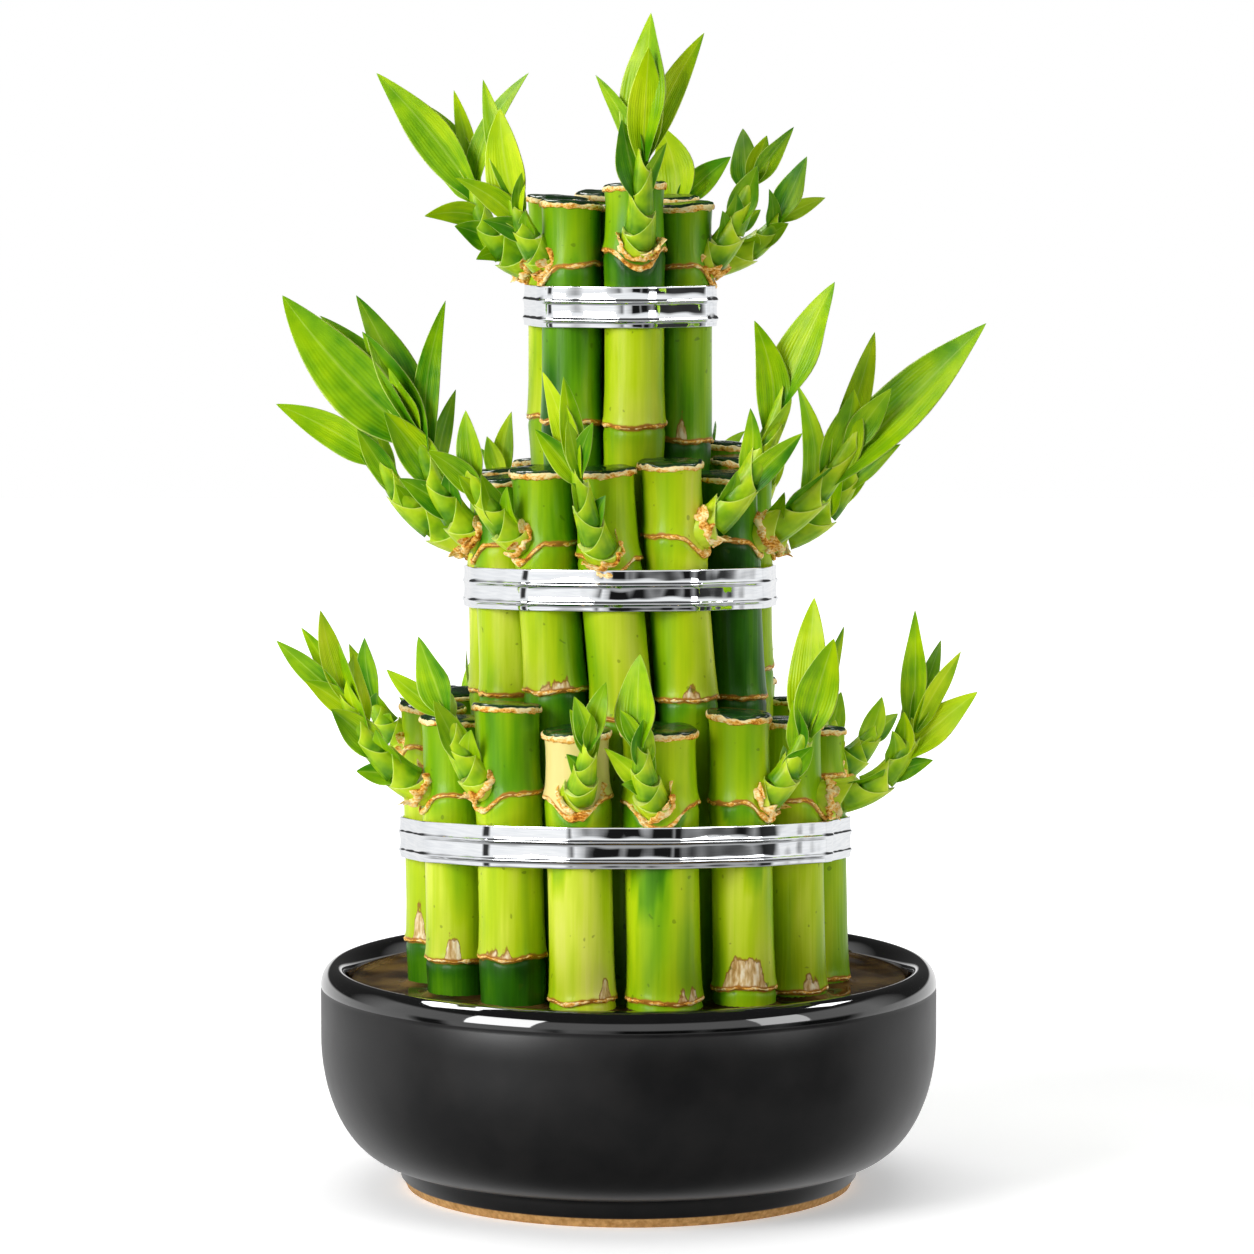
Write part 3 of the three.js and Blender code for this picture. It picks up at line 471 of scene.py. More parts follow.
class Finish(Nodes):
    """A material. What is constant all over it is named when it is made, and the rest when worn."""

    def __init__(self, name, **constants):
        self.material = bpy.data.materials.new(name)
        self.material.use_nodes = True
        super().__init__(self.material.node_tree)
        self.shader = self.tree.nodes["Principled BSDF"]
        for key, value in constants.items():
            self.shader.inputs[key.replace("_", " ")].default_value = value

    def value(self, name):
        """One of the mesh's own values."""
        return self.add("Attribute", dict(attribute_name=name)).outputs["Fac"]

    def place(self, stretch=(1, 1, 1)):
        """Object coordinates in millimetres, squeezed along each axis."""
        coordinates = self.add("TexCoord").outputs["Object"]
        scale = [s / MM for s in stretch]
        mapping = self.add("Mapping", dict(vector_type="POINT"), Vector=coordinates, Scale=scale)
        return mapping.outputs[0]

    def noise(self, size, stretch=(1, 1, 1), detail=2.0, roughness=0.5):
        """Soft noise of 0 to 1 with spots of about this size in millimetres."""
        return self.add("TexNoise", Vector=self.place(stretch), Scale=1 / size, Detail=detail,
                        Roughness=roughness).outputs["Fac"]

    def sway(self, base, noise, weight):
        """The base, moved up and down by the noise about its middle value."""
        return self.math("MULTIPLY_ADD", self.math("SUBTRACT", noise, 0.5), weight, base)

    def step(self, low, high, value):
        """0 at low and 1 at high, with a smooth step between."""
        node = self.add("MapRange", dict(interpolation_type="SMOOTHSTEP"), Value=value)
        node.inputs["From Min"].default_value = low
        node.inputs["From Max"].default_value = high
        return node.outputs["Result"]

    def mix(self, share, a, b):
        """The colour a where the share is 0, and b where it is 1."""
        settings = dict(data_type="RGBA", clamp_factor=True)
        return self.add("Mix", settings, i0=share, i6=a, i7=b).outputs[2]

    def bump(self, height, strength, distance):
        """Bump from a height of 0 to 1 that stands for this many millimetres."""
        return self.add("Bump", Height=height, Strength=strength, Distance=distance * MM).outputs[0]

    def wear(self, **sockets):
        """Connect what varies over the surface to the shader, and give back the material."""
        for key, value in sockets.items():
            self.give(self.shader.inputs[key.replace("_", " ")], value)
        return self.material


def cane_skin_finish():
    """Waxy green skin: its lightness comes from tone, which carries painted shade between close canes,
    with streaks along the cane, a few dark specks, a corky line at each scar and torn pale patches
    over some of them."""
    finish = Finish("cane_skin", Specular_IOR_Level=0.2)
    streaks = finish.noise(3.2, (1, 1, 0.08))
    clouds = finish.noise(14.0, (1, 1, 0.35))
    fibres = finish.noise(0.7, (1, 1, 0.03))
    tone = finish.sway(finish.value("tone"), streaks, 0.30)
    tone = finish.sway(tone, clouds, 0.34)
    tone = finish.math("MULTIPLY", finish.sway(tone, fibres, 0.10), 0.8)
    green = finish.ramp(tone, (0.0, "#174304"), (0.16, "#2e6a04"), (0.33, "#5f9a04"), (0.48, "#90b907"),
                        (0.61, "#b4cd12"), (0.72, "#cddb40"), (0.83, "#dcdc6c"), (1.0, "#e9d68a"))
    ragged = finish.math("MULTIPLY_ADD", finish.noise(1.7, (1, 1, 0.6), 3.0), 7.0, -3.5)
    peel = finish.math("ADD", finish.value("peel"), ragged)
    above = finish.value("above")
    torn = finish.math("MULTIPLY", finish.step(-0.1, 0.35, peel), above)
    bark = finish.ramp(finish.noise(0.9, (1, 1, 0.25), 3.0), (0.34, "#b58a4a"), (0.5, "#dcbc84"),
                       (0.66, "#f6e9c8"))
    green = finish.mix(torn, green, bark)
    edge = finish.math("MULTIPLY", finish.step(0.8, 0.15, finish.math("ABSOLUTE", peel)), above)
    green = finish.mix(finish.math("MULTIPLY", edge, 0.8), green, paint("#8f5218"))
    line = finish.step(0.9, 0.4, finish.math("MULTIPLY_ADD", ragged, 0.13, finish.value("scar")))
    colour = finish.mix(line, green, paint("#b3762c"))
    specks = finish.step(0.79, 0.82, finish.noise(1.9, detail=0.0))
    colour = finish.mix(finish.math("MULTIPLY", specks, 0.45), colour, paint("#3c5a08"))
    rough = finish.math("MULTIPLY_ADD", fibres, 0.14, 0.24)
    rough = finish.math("MULTIPLY_ADD", torn, 0.4, rough)
    relief = finish.math("MULTIPLY_ADD", torn, 0.8, fibres)
    return finish.wear(Base_Color=colour, Roughness=rough, Normal=finish.bump(relief, 0.35, 0.25))


def scar_bark_finish():
    """Corky tan rings and collars, with orange-brown hollows and pale torn crests."""
    finish = Finish("scar_bark", Specular_IOR_Level=0.15)
    grain = finish.noise(0.8, (1, 1, 1.6), 3.0, 0.65)
    share = finish.math("MULTIPLY_ADD", grain, 0.75, finish.value("tone"))
    share = finish.math("MULTIPLY_ADD", finish.noise(3.5), 0.6, share)
    colour = finish.ramp(share, (0.46, "#7a3a04"), (0.56, "#c87814"), (0.66, "#f4b84e"),
                         (0.8, "#ffeab0"))
    return finish.wear(Base_Color=colour, Roughness=0.6, Normal=finish.bump(grain, 0.5, 0.4))


def cut_wax_finish():
    """Dark green sealing wax on the cut tops, glossy and a little lumpy."""
    finish = Finish("cut_wax", Specular_IOR_Level=0.4)
    lumps = finish.noise(3.0)
    colour = finish.ramp(lumps, (0.3, "#082009"), (0.6, "#173f12"), (0.8, "#3c6a22"))
    return finish.wear(Base_Color=colour, Roughness=0.16, Normal=finish.bump(lumps, 0.5, 0.6))


def leaf_finish():
    """Soft glossy blades: fine veins and broad stripes run along them where they are wide, and the
    midrib and the thin edges are pale."""
    finish = Finish("leaf_blade", Specular_IOR_Level=0.18)
    across, along = finish.value("across"), finish.value("along")
    wide = finish.math("MULTIPLY", finish.step(0.0, 0.2, along), finish.step(0.85, 0.5, along))
    veins = finish.math("SINE", finish.math("MULTIPLY", across, 46.0))
    veins = finish.math("MULTIPLY", veins, wide)
    stripes = finish.math("SINE", finish.math("MULTIPLY_ADD", across, 13.0, 0.8))
    stripes = finish.math("MULTIPLY", stripes, wide)
    tone = finish.math("MULTIPLY_ADD", veins, 0.02, finish.value("tone"))
    tone = finish.math("MULTIPLY_ADD", stripes, 0.035, tone)
    tone = finish.sway(tone, finish.noise(7.0), 0.55)
    colour = finish.ramp(tone, (0.0, "#1c5200"), (0.22, "#458800"), (0.45, "#85b400"),
                         (0.68, "#b2d200"), (0.86, "#cce01c"), (1.0, "#e4ee78"))
    aside = finish.math("ABSOLUTE", across)
    midrib = finish.math("MULTIPLY", finish.step(0.07, 0.02, aside), 0.15)
    rim = finish.math("MULTIPLY", finish.step(0.93, 1.0, aside), 0.75)
    colour = finish.mix(finish.math("MAXIMUM", midrib, rim), colour, paint("#e2f382"))
    relief = finish.math("MULTIPLY_ADD", stripes, 1.5, veins)
    return finish.wear(Base_Color=colour, Roughness=0.36, Normal=finish.bump(relief, 0.25, 0.12))


def sheath_finish():
    """Overlapping sheaths round a stem: pale at each upper edge, and darker green lower down as painted
    shade where each comes out from under the one below.
    """
    finish = Finish("stem_sheath", Subsurface_Weight=0.2, Subsurface_Scale=0.0012,
                    Subsurface_Radius=(0.5, 1.0, 0.15), Specular_IOR_Level=0.3)
    along, tone = finish.value("along"), finish.value("tone")
    lines = finish.math("SINE", finish.math("MULTIPLY", finish.value("across"), 30.0))
    # Painted shade: each sheath darkens towards its foot, where it comes out from under the one below.
    share = finish.math("MULTIPLY_ADD", along, 0.42, tone)
    share = finish.math("MULTIPLY_ADD", lines, 0.02, share)
    share = finish.sway(share, finish.noise(4.0), 0.6)
    colour = finish.ramp(share, (0.0, "#4c8604"), (0.22, "#8cb808"), (0.45, "#bcd818"),
                         (0.72, "#d4e44c"), (1.0, "#e6ee90"))
    rim = finish.step(0.93, 0.99, along)
    colour = finish.mix(finish.math("MULTIPLY", rim, 0.45), colour, paint("#dcee88"))
    return finish.wear(Base_Color=colour, Roughness=0.38, Normal=finish.bump(lines, 0.2, 0.1))


def polished_band_finish():
    """Bright chromed strip with faint rubbed streaks along it and shallow dents."""
    finish = Finish("polished_band", Metallic=1.0)
    rubbed = finish.noise(6.0, (1, 1, 12))
    colour = finish.ramp(rubbed, (0.3, "#eaedf1"), (0.7, "#f8fafc"))
    rough = finish.math("MULTIPLY_ADD", rubbed, 0.03, 0.02)
    dents = finish.noise(7.0, (1, 1, 0.7), detail=0.0)
    return finish.wear(Base_Color=colour, Roughness=rough, Normal=finish.bump(dents, 0.4, 0.5))


def satin_glaze_finish():
    """Black satin glaze on the bowl's outside, with a bare buff edge at the foot."""
    finish = Finish("black_satin_glaze", Specular_IOR_Level=0.36)
    height = finish.add("SeparateXYZ", Vector=finish.place()).outputs["Z"]
    mottle = finish.noise(9.0, detail=3.0)
    body = finish.ramp(mottle, (0.35, "#0a0a0b"), (0.7, "#131212"))
    bare = finish.step(BARE_CLAY + 0.2, BARE_CLAY - 0.2, height)
    clay = finish.ramp(finish.noise(1.2, detail=3.0), (0.3, "#9b7038"), (0.7, "#c89c60"))
    rough = finish.math("MULTIPLY_ADD", mottle, 0.10, 0.30)
    rough = finish.math("MULTIPLY_ADD", bare, 0.5, rough)
    colour = finish.mix(bare, body, clay)
    relief = finish.bump(finish.noise(1.6), 0.05, 0.1)
    return finish.wear(Base_Color=colour, Roughness=rough, Normal=relief)


def glossy_glaze_finish(name, dark, light):
    """The same glaze where it ran thick and glossy, mottled between two colours: black over the rim,
    and thinned to brown down the inside."""
    finish = Finish(name, Specular_IOR_Level=0.5, Coat_Weight=1.0, Coat_Roughness=0.02)
    mottle = finish.noise(7.0, (1, 1, 0.4), 3.0)
    rough = finish.math("MULTIPLY_ADD", mottle, 0.04, 0.03)
    relief = finish.bump(mottle, 0.04, 0.2)
    return finish.wear(Base_Color=finish.ramp(mottle, (0.3, dark), (0.7, light)), Roughness=rough,
                       Normal=relief)


def still_water_finish():
    """Still water over the dark bowl: olive brown, smooth as a mirror."""
    finish = Finish("still_water", IOR=1.33, Specular_IOR_Level=0.35)
    depth = finish.noise(13.0, detail=3.0)
    colour = finish.ramp(depth, (0.34, "#2e2110"), (0.5, "#543e1d"), (0.66, "#86693c"))
    return finish.wear(Base_Color=colour, Roughness=0.03, Normal=finish.bump(depth, 0.03, 0.4))


CANE_SKIN, SCAR_BARK, CUT_WAX, LEAF, SHEATH = range(5)
PLANT_FINISHES = [cane_skin_finish(), scar_bark_finish(), cut_wax_finish(), leaf_finish(),
                  sheath_finish()]
BAND_FINISH = polished_band_finish()


# The bowl and its water
def make_bowl():
    """The bowl's outline turned round: recess, foot ring, waist, elliptical belly, wall, rounded
    rim, and the inside down to its floor."""
    turn = np.linspace(0, np.pi, 22)
    rim_half = RIM_WIDTH / 2
    rim_radius = BOWL_RADIUS - rim_half + rim_half * np.cos(turn)
    rim_height = RIM_LINE + (BOWL_HEIGHT - RIM_LINE) * np.sin(turn)
    rim = np.stack([rim_radius, rim_height], -1)
    inner = quarter_belly(INNER_START, INNER_WALL_START, INNER_BELLY_HALF_WIDTH,
                          INNER_WALL_START - FLOOR_INSIDE, 20)[::-1]
    belly = quarter_belly(BOWL_RADIUS - BELLY_HALF_WIDTH, WALL_START, BELLY_HALF_WIDTH,
                          BELLY_HALF_HEIGHT, 30)
    ring_edge = FOOT_RADIUS - FOOT_RING_WIDTH
    outline = np.concatenate([
        [(HUB_RADIUS, FOOT_RECESS), (ring_edge - 1.2, FOOT_RECESS),
         (ring_edge - 0.5, FOOT_RECESS - 0.4), (ring_edge, 0.4), (ring_edge + 0.5, 0),
         (FOOT_RADIUS - 0.5, 0), (FOOT_RADIUS, 0.3),
         (FOOT_RADIUS + 0.9, BARE_CLAY), (FOOT_WAIST - 0.5, BARE_CLAY + 0.4),
         (FOOT_WAIST - 0.2, 5.6), (FOOT_WAIST, 6.5)],
        belly[1:],
        [(BOWL_RADIUS, 42), (BOWL_RADIUS, RIM_LINE - 1.0), (BOWL_RADIUS - 0.2, RIM_LINE - 0.5)],
        rim,
        inner,
        [(HUB_RADIUS, FLOOR_INSIDE)],
    ])
    row = np.arange(len(outline) - 1)
    inside_start = len(outline) - len(inner) - 4
    rim_start = len(outline) - len(rim) - len(inner) - 1
    finish_of_row = (row >= rim_start).astype(int) + (row >= inside_start)
    points = revolve(outline, BOWL_COLUMNS)
    skin = tube(points, finish_of_row, UP * FOOT_RECESS, UP * FLOOR_INSIDE)
    glazes = [satin_glaze_finish(), glossy_glaze_finish("black_rim_glaze", "#060606", "#0b0b0b"),
              glossy_glaze_finish("brown_inner_glaze", "#1e1408", "#70542a")]
    bowl = make_piece("glazed_bowl", [skin], glazes)
    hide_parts("bowl")


def make_water():
    """The water's skin. Its top creeps up the wall and each outer cane: its height is the still level
    plus WATER_CREEP times e to the power of minus the distance from the nearest of them in
    millimetres."""
    reach = INNER_BELLY_HALF_WIDTH - WALL_GAP
    wall = quarter_belly(INNER_START, INNER_WALL_START, reach, INNER_WALL_START - CANE_FOOT, 14)
    edge = INNER_START + reach
    top = [(radius, WATER_TOP) for radius in np.arange(edge - 0.2, 34, -0.9)]
    outline = np.concatenate([[(HUB_RADIUS, CANE_FOOT)], wall, [(edge, WATER_TOP - 0.4)], top,
                              [(HUB_RADIUS, WATER_TOP)]])
    points = revolve(outline, WATER_COLUMNS)
    middles = np.array([cane_middle("outer", c, WATER_TOP)[:2] for c in CANES["outer"]])
    radii = np.array([c["radius"] for c in CANES["outer"]])
    gaps = np.linalg.norm(points[..., None, :2] - middles, axis=-1) - radii
    wall_gap = edge + 0.3 - np.linalg.norm(points[..., :2], axis=-1)
    nearest = np.clip(np.minimum(gaps.min(-1), wall_gap), 0, None)
    points[..., 2] += np.where(points[..., 2] > WATER_TOP - 0.2, WATER_CREEP * np.exp(-nearest), 0)
    skin = tube(points, 0, UP * CANE_FOOT, UP * WATER_TOP)
    water = make_piece("still_water", [skin], [still_water_finish()])
    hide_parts("water")


# The bands
def band_path(band):
    """A loop drawn tight round a ring of canes: in each direction it is as far out as the cane that
    reaches furthest, evened to a point at each BAND_STEP and rounded off over a few of them."""
    height = band["bottom"] + BAND_HEIGHT / 2
    bound = CANES[band["ring"]]
    middles = np.array([cane_middle(band["ring"], c, height) for c in bound])
    reach = np.array([c["radius"] + BAND_GAP for c in bound])
    normals = out_at(np.linspace(0, 360, 2880, endpoint=False))
    touched = np.argmax(normals @ middles.T + reach, axis=1)
    loop = middles[touched] + normals * reach[touched, None]
    loop[:, 2] = 0
    steps = np.linalg.norm(np.roll(loop, -1, 0) - loop, axis=1)
    run = np.concatenate([[0], np.cumsum(steps)])
    even = np.linspace(0, run[-1], int(run[-1] / BAND_STEP), endpoint=False)
    closed = np.concatenate([loop, loop[:1]])
    loop = np.stack([np.interp(even, run, closed[:, axis]) for axis in range(3)], -1)
    for _ in range(12):
        loop = (np.roll(loop, 1, 0) + 2 * loop + np.roll(loop, -1, 0)) / 4
    return loop


def make_band(name, band):
    """A strip with two beads carried round the loop. How far its face stands out at a height is its
    thickness plus a bell-shaped bead at each bead height, less a shallow hollow between them, plus
    the lap where the strip's end lies over its start, plus the gentle waves that it was pulled into."""
    loop = band_path(band)
    tangent = unit(np.roll(loop, -1, 0) - np.roll(loop, 1, 0))
    normal = np.cross(tangent, UP)
    plain = np.linspace(0.12, BAND_HEIGHT - 0.12, 25)
    near = [bead + np.linspace(-0.9, 0.9, 13) for bead in BEAD_HEIGHTS]
    heights = np.unique(np.concatenate([plain, *near]))
    beads = sum(np.exp(-((heights - bead) / BEAD_WIDTH) ** 2) for bead in BEAD_HEIGHTS)
    hollow = np.sin(np.pi * heights / (BEAD_HEIGHTS[1] - BEAD_HEIGHTS[0]) - 1.24) ** 2
    face = BAND_THICKNESS + BEAD_RISE * beads - HOLLOW_DEPTH * hollow
    outline = np.concatenate([
        np.stack([face, heights], -1),
        [(BAND_THICKNESS - 0.15, BAND_HEIGHT), (0.15, BAND_HEIGHT), (0, BAND_HEIGHT - 0.15),
         (0, BAND_HEIGHT / 2), (0, 0.15), (0.15, 0), (BAND_THICKNESS - 0.15, 0)]])
    where = np.degrees(np.arctan2(loop[:, 0], -loop[:, 1]))
    place = loop[:, None] + UP * outline[None, :, 1:]
    waves = 0.13 * drift(place, 10, 7) + 0.04 * drift(place * (1, 1, 0.3), 5, 8)
    before = -apart(where, band["lap"])
    lap = LAP_RISE * np.where((before > 0) & (before < LAP_LENGTH), 1 - before / LAP_LENGTH, 0)
    outside = outline[None, :, :1] > 0.5
    proud = outline[None, :, :1] + np.where(outside, lap[:, None, None] + waves[..., None], 0)
    points = loop[:, None] + normal[:, None] * proud
    points[..., 2] = band["bottom"] + outline[None, :, 1] - band["rise"] * points[..., 1]
    piece = make_piece("chromed_" + name, [ring_tube(points, 0)], [BAND_FINISH])
    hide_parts(name)


# Canes: the rows of points about a node, those under the cut, the step between the rest, and how
# far a node's ring dips under a shoot
CANE_COLUMNS = 48
NODE_ROWS = np.array([-7, -4.5, -3, -2, -1.3, -0.9, -0.6, -0.3, 0, 0.3, 0.7, 1.3, 2.2, 3.5, 5.5, 8])
RIM_ROWS = np.array([-3, -2, -1.2, -0.6, -0.2])
PLAIN_STEP = 6.0
COLLAR_DIP = 4.5
NODE_SWELL = 0.35
SCAR_LIP = 0.28
SCAR_GROOVE = 0.3
TOP_FLARE = 0.35


def cane_middle(ring, cane, height):
    """The middle of a cane at each height: its place on the turning ring, moved by the lean."""
    sizes = RINGS[ring]
    height = np.asarray(height, float)
    angle = cane["angle"] + sizes["turn"] * np.clip(height - TURN_START, 0, None)
    spread = sizes["spread"] * share_between(SPREAD_START, SPREAD_END, height)
    radius = sizes["radius"] - cane["inset"] + spread
    middle = out_at(angle) * radius[..., None] + UP * height[..., None]
    middle[..., 0] += LEAN * share_between(LEAN_START, LEAN_END, height)
    return middle


def node_wander(angle, cane, which, seed):
    """How far a node's ring strays from its height: a slow wave round the cane, and under a shoot a
    dip that holds the shoot's foot."""
    circle = out_at(angle) * 8
    stray = 0.55 * drift(circle, 14, seed) + 0.22 * drift(circle, 4, seed + 1)
    if which == 1 and cane["shoot"]:
        stray = stray - COLLAR_DIP * np.exp(-np.abs(apart(angle, cane["heading"]) / 36) ** 3)
    return stray


def cane_radius(cane, away, height, angle):
    """The skin's radius: the cane's radius, less above the upper node, swollen about each node, with
    a lip above each scar and a groove below it, a slight flare at the cut top and a faint oval."""
    slimmer = 0.25 * smooth(cane["nodes"][1], cane["nodes"][1] + 4, height)
    swell = NODE_SWELL * np.exp(-(away / 6) ** 2)
    lip = SCAR_LIP * np.exp(-((away - 0.5) / 0.9) ** 2)
    groove = SCAR_GROOVE * np.exp(-((away + 0.8) / 0.55) ** 2)
    flare = TOP_FLARE * smooth(cane["top"] - 5, cane["top"], height)
    oval = 0.1 * np.cos(np.radians(2 * angle + cane["angle"]))
    return cane["radius"] - slimmer + swell + lip - groove + flare + oval


def cane_levels(cane):
    """Row heights: even steps, with close rows about each node and under the top."""
    plain = np.arange(CANE_FOOT, cane["top"] - 3, PLAIN_STEP)
    far = np.all([np.abs(plain - node) > 9 for node in cane["nodes"]], axis=0)
    near = [node + NODE_ROWS for node in cane["nodes"]]
    return np.unique(np.concatenate([plain[far], *near, cane["top"] + RIM_ROWS]))


def free_space(cane, points):
    """The distance from each point to the nearest other cane's skin, at most 50 mm."""
    nearest = np.full(points.shape[:2], 50.0)
    for other_ring, others in CANES.items():
        for other in others:
            if other is not cane and other["top"] > cane["nodes"][0]:
                middle = cane_middle(other_ring, other, points[..., 2])
                gap = np.linalg.norm((points - middle)[..., :2], axis=-1) - other["radius"]
                gap = gap + 50 * (points[..., 2] > other["top"])
                nearest = np.minimum(nearest, gap)
    return nearest


def skin_tone_and_shade(cane, points, levels, away, angle, seed):
    """How light the skin is: each length's own tone, drifting a little, darker just under a node and
    in the pointed marks under the upper node, with painted shade between close canes."""
    low, high = (smooth(node - 1, node + 1, levels) for node in cane["nodes"])
    lengths = cane["tones"]
    tone = lengths[0] + (lengths[1] - lengths[0]) * low + (lengths[2] - lengths[1]) * high
    stretched = points * (1, 1, 0.25)
    tone = tone + 0.16 * drift(stretched, 12, seed + 3) + 0.05 * drift(stretched, 4, seed + 4)
    tone = tone - 0.12 * smooth(-6, -1, away) * smooth(0.5, -0.5, away)
    # Painted shade: darker where another cane stands within a few millimetres.
    tone = tone - 0.32 * smooth(3.2, 0.2, free_space(cane, points))
    under = cane["nodes"][1] - levels
    for centre, half_width, length in cane["marks"]:
        inside = half_width * (1 - under / length) - np.abs(apart(angle, centre))
        tone = tone - 0.28 * smooth(0, 6, inside) * smooth(-1, 0.5, under)
    return tone


def torn_depth(cane, angle, away, at_lower_node):
    """How far inside a torn patch a point is, in millimetres, from -5 to 5. A patch's crest is its
    height less the fourth power of the distance from its middle."""
    depth = np.full(at_lower_node.shape[:1] + angle.shape, -5.0)
    for centre, half_width, height in cane["peels"]:
        crest = height * np.clip(1 - (apart(angle, centre) / half_width) ** 4, -1, 1)
        over_low = crest - np.where(at_lower_node, away, 50)
        depth = np.maximum(depth, np.clip(over_low, -5, 5))
    return depth


def make_cane_skin(ring, cane, seed):
    """The cane's skin. Each row stands at its level, strayed near a node by that node's wander, which
    fades with e to the power of minus the square of the distance over 9 mm."""
    angle = np.linspace(0, 360, CANE_COLUMNS, endpoint=False)
    levels = cane_levels(cane)[:, None]
    nearest = np.argmin([np.abs(levels - node) for node in cane["nodes"]], axis=0)
    away = levels - np.array(cane["nodes"])[nearest]
    heights = levels + smooth(cane["top"] - 6, cane["top"], levels) * cut_tilt(angle, seed)
    for which, node in enumerate(cane["nodes"]):
        stray = node_wander(angle, cane, which, seed + 10 * which)
        heights = heights + np.exp(-((levels - node) / 9) ** 2) * stray
    radius = cane_radius(cane, away, levels, angle)
    points = cane_middle(ring, cane, heights) + out_at(angle) * radius[..., None]
    tone = skin_tone_and_shade(cane, points, levels, away, angle, seed)
    peel = torn_depth(cane, angle, away, nearest == 0)
    above = smooth(-0.5, -0.1, away)
    return tube(points, CANE_SKIN, scar=np.abs(away), above=above, peel=peel, tone=tone)


def cut_tilt(angle, seed):
    """How the cut across the top is tilted and waved, in millimetres round the rim."""
    return 0.5 * np.cos(np.radians(angle - 40 * seed)) + 0.2 * drift(out_at(angle) * 7, 5, seed + 5)


def crinkled_ring(path, outward, half_height, half_depth, seed, way=UP, rows=8,
                  crinkles=((0.26, 2.6), (0.16, 1.1))):
    """A closed ring of bark along a loop: an oval section whose size follows the given half height
    along the way and half depth outward, crinkled by drifts of (share, size)."""
    turn = np.linspace(0, 2 * np.pi, rows, endpoint=False)
    across = np.cos(turn)[None, :, None] * outward[:, None] * half_depth[:, None, None]
    rise = np.sin(turn)[None, :, None] * way * half_height[:, None, None]
    points = path[:, None] + across + rise
    crinkle = sum(share * drift(points, size, seed + order)
                  for order, (share, size) in enumerate(crinkles))
    return path[:, None] + (across + rise) * (1 + crinkle[..., None])


def make_scar(ring, cane, which, seed):
    """The corky ring at a node, thicker where it runs under the shoot's foot."""
    angle = np.linspace(0, 360, 150, endpoint=False)
    node = cane["nodes"][which]
    height = node + node_wander(angle, cane, which, seed + 10 * which)
    outward = out_at(angle)
    under = 0.0
    if which == 1 and cane["shoot"]:
        under = np.exp(-(apart(angle, cane["heading"]) / 34) ** 2)
    swing = drift(outward * 8, 3.0, seed + 20 + which)
    half_height = np.clip(0.34 + 0.26 * swing + 0.5 * under, 0.14, 2)
    half_depth = np.clip(0.26 + 0.16 * swing + 0.45 * under, 0.12, 1.4)
    radius = cane["radius"] + 0.42
    path = cane_middle(ring, cane, height) + outward * radius
    points = crinkled_ring(path, outward, half_height, half_depth, seed + 30 + which)
    return ring_tube(points, SCAR_BARK)


def make_cut_top(ring, cane, seed):
    """The dried rim of bark round the cut, and the domed wax inside it, which is 0.7 mm proud."""
    angle = np.linspace(0, 360, 120, endpoint=False)
    outward = out_at(angle)
    body = cane["radius"] + 0.1
    top = cane["top"] + cut_tilt(angle, seed)
    swing = drift(outward * 8, 3.5, seed + 41)
    path = cane_middle(ring, cane, top - 0.75) + outward * (body + 0.2)
    rim = crinkled_ring(path, outward, 0.66 + 0.16 * swing, 0.30 + 0.05 * swing, seed + 42)
    outline = np.array([(body - 0.6, -1.0), (body + 0.12, -0.35), (body + 0.16, 0.0),
                        (body - 0.1, 0.32), (body - 0.7, 0.5), (body * 0.7, 0.62),
                        (body * 0.4, 0.66), (body * 0.15, 0.68)])
    wave = 1 + 0.022 * drift(outward * 8, 5, seed + 43)
    spread = outward[None] * (outline[:, None, :1] * wave[None, :, None])
    centre = cane_middle(ring, cane, cane["top"])
    fade = np.clip(outline[:, 0] / body, 0, 1)[:, None]
    lift = outline[:, 1][:, None] + fade * (top - cane["top"])
    wax = centre + spread + UP * lift[..., None]
    # Painted light and shade: the bark rim is lighter over its upper half and darker underneath.
    up_the_rim = np.sin(np.linspace(0, 2 * np.pi, rim.shape[1], endpoint=False))
    return [ring_tube(rim, SCAR_BARK, tone=0.05 + 0.1 * up_the_rim[None]), tube(wax, CUT_WAX)]


# Shoots
def bezier(a, b, c, share):
    """Points on a curve that leaves a towards b and arrives at c."""
    share = np.asarray(share, float)[..., None]
    return a * (1 - share) ** 2 + 2 * b * share * (1 - share) + c * share ** 2


def bezier_way(a, b, c, share):
    """Unit vectors along that curve."""
    share = np.asarray(share, float)[..., None]
    return unit((b - a) * (1 - share) + (c - b) * share)


def local(heading, reach):
    """A vector given as (out, sideways, up) at a heading."""
    return out_at(heading) * reach[0] + sideways_at(heading) * reach[1] + UP * reach[2]


def face_way(heading, degrees):
    """A level direction, turned from straight out towards sideways."""
    turn = np.radians(degrees)
    return out_at(heading) * np.cos(turn) + sideways_at(heading) * np.sin(turn)


# A stem's sheaths: the rows of points as shares of each one's length, where each starts and ends
# along the stem, and how far its upper edge slants
STEM_COLUMNS = 24
SHEATH_ROWS = np.array([0.0, 0.15, 0.35, 0.55, 0.75, 0.9, 0.97, 1.0])
SHEATH_ENDS = np.array([0.26, 0.45, 0.63, 0.8, 0.97])
SHEATH_STARTS = np.array([0.0, 0.2, 0.38, 0.55, 0.7])
SLANT = 0.11


def stem_radius(share):
    """The stem's radius: it swells over its foot and then thins evenly to its tip."""
    return np.interp(share, [0, 0.12, 0.3, 0.6, 0.85, 1.0], [4.3, 4.7, 4.2, 3.3, 2.4, 1.4])


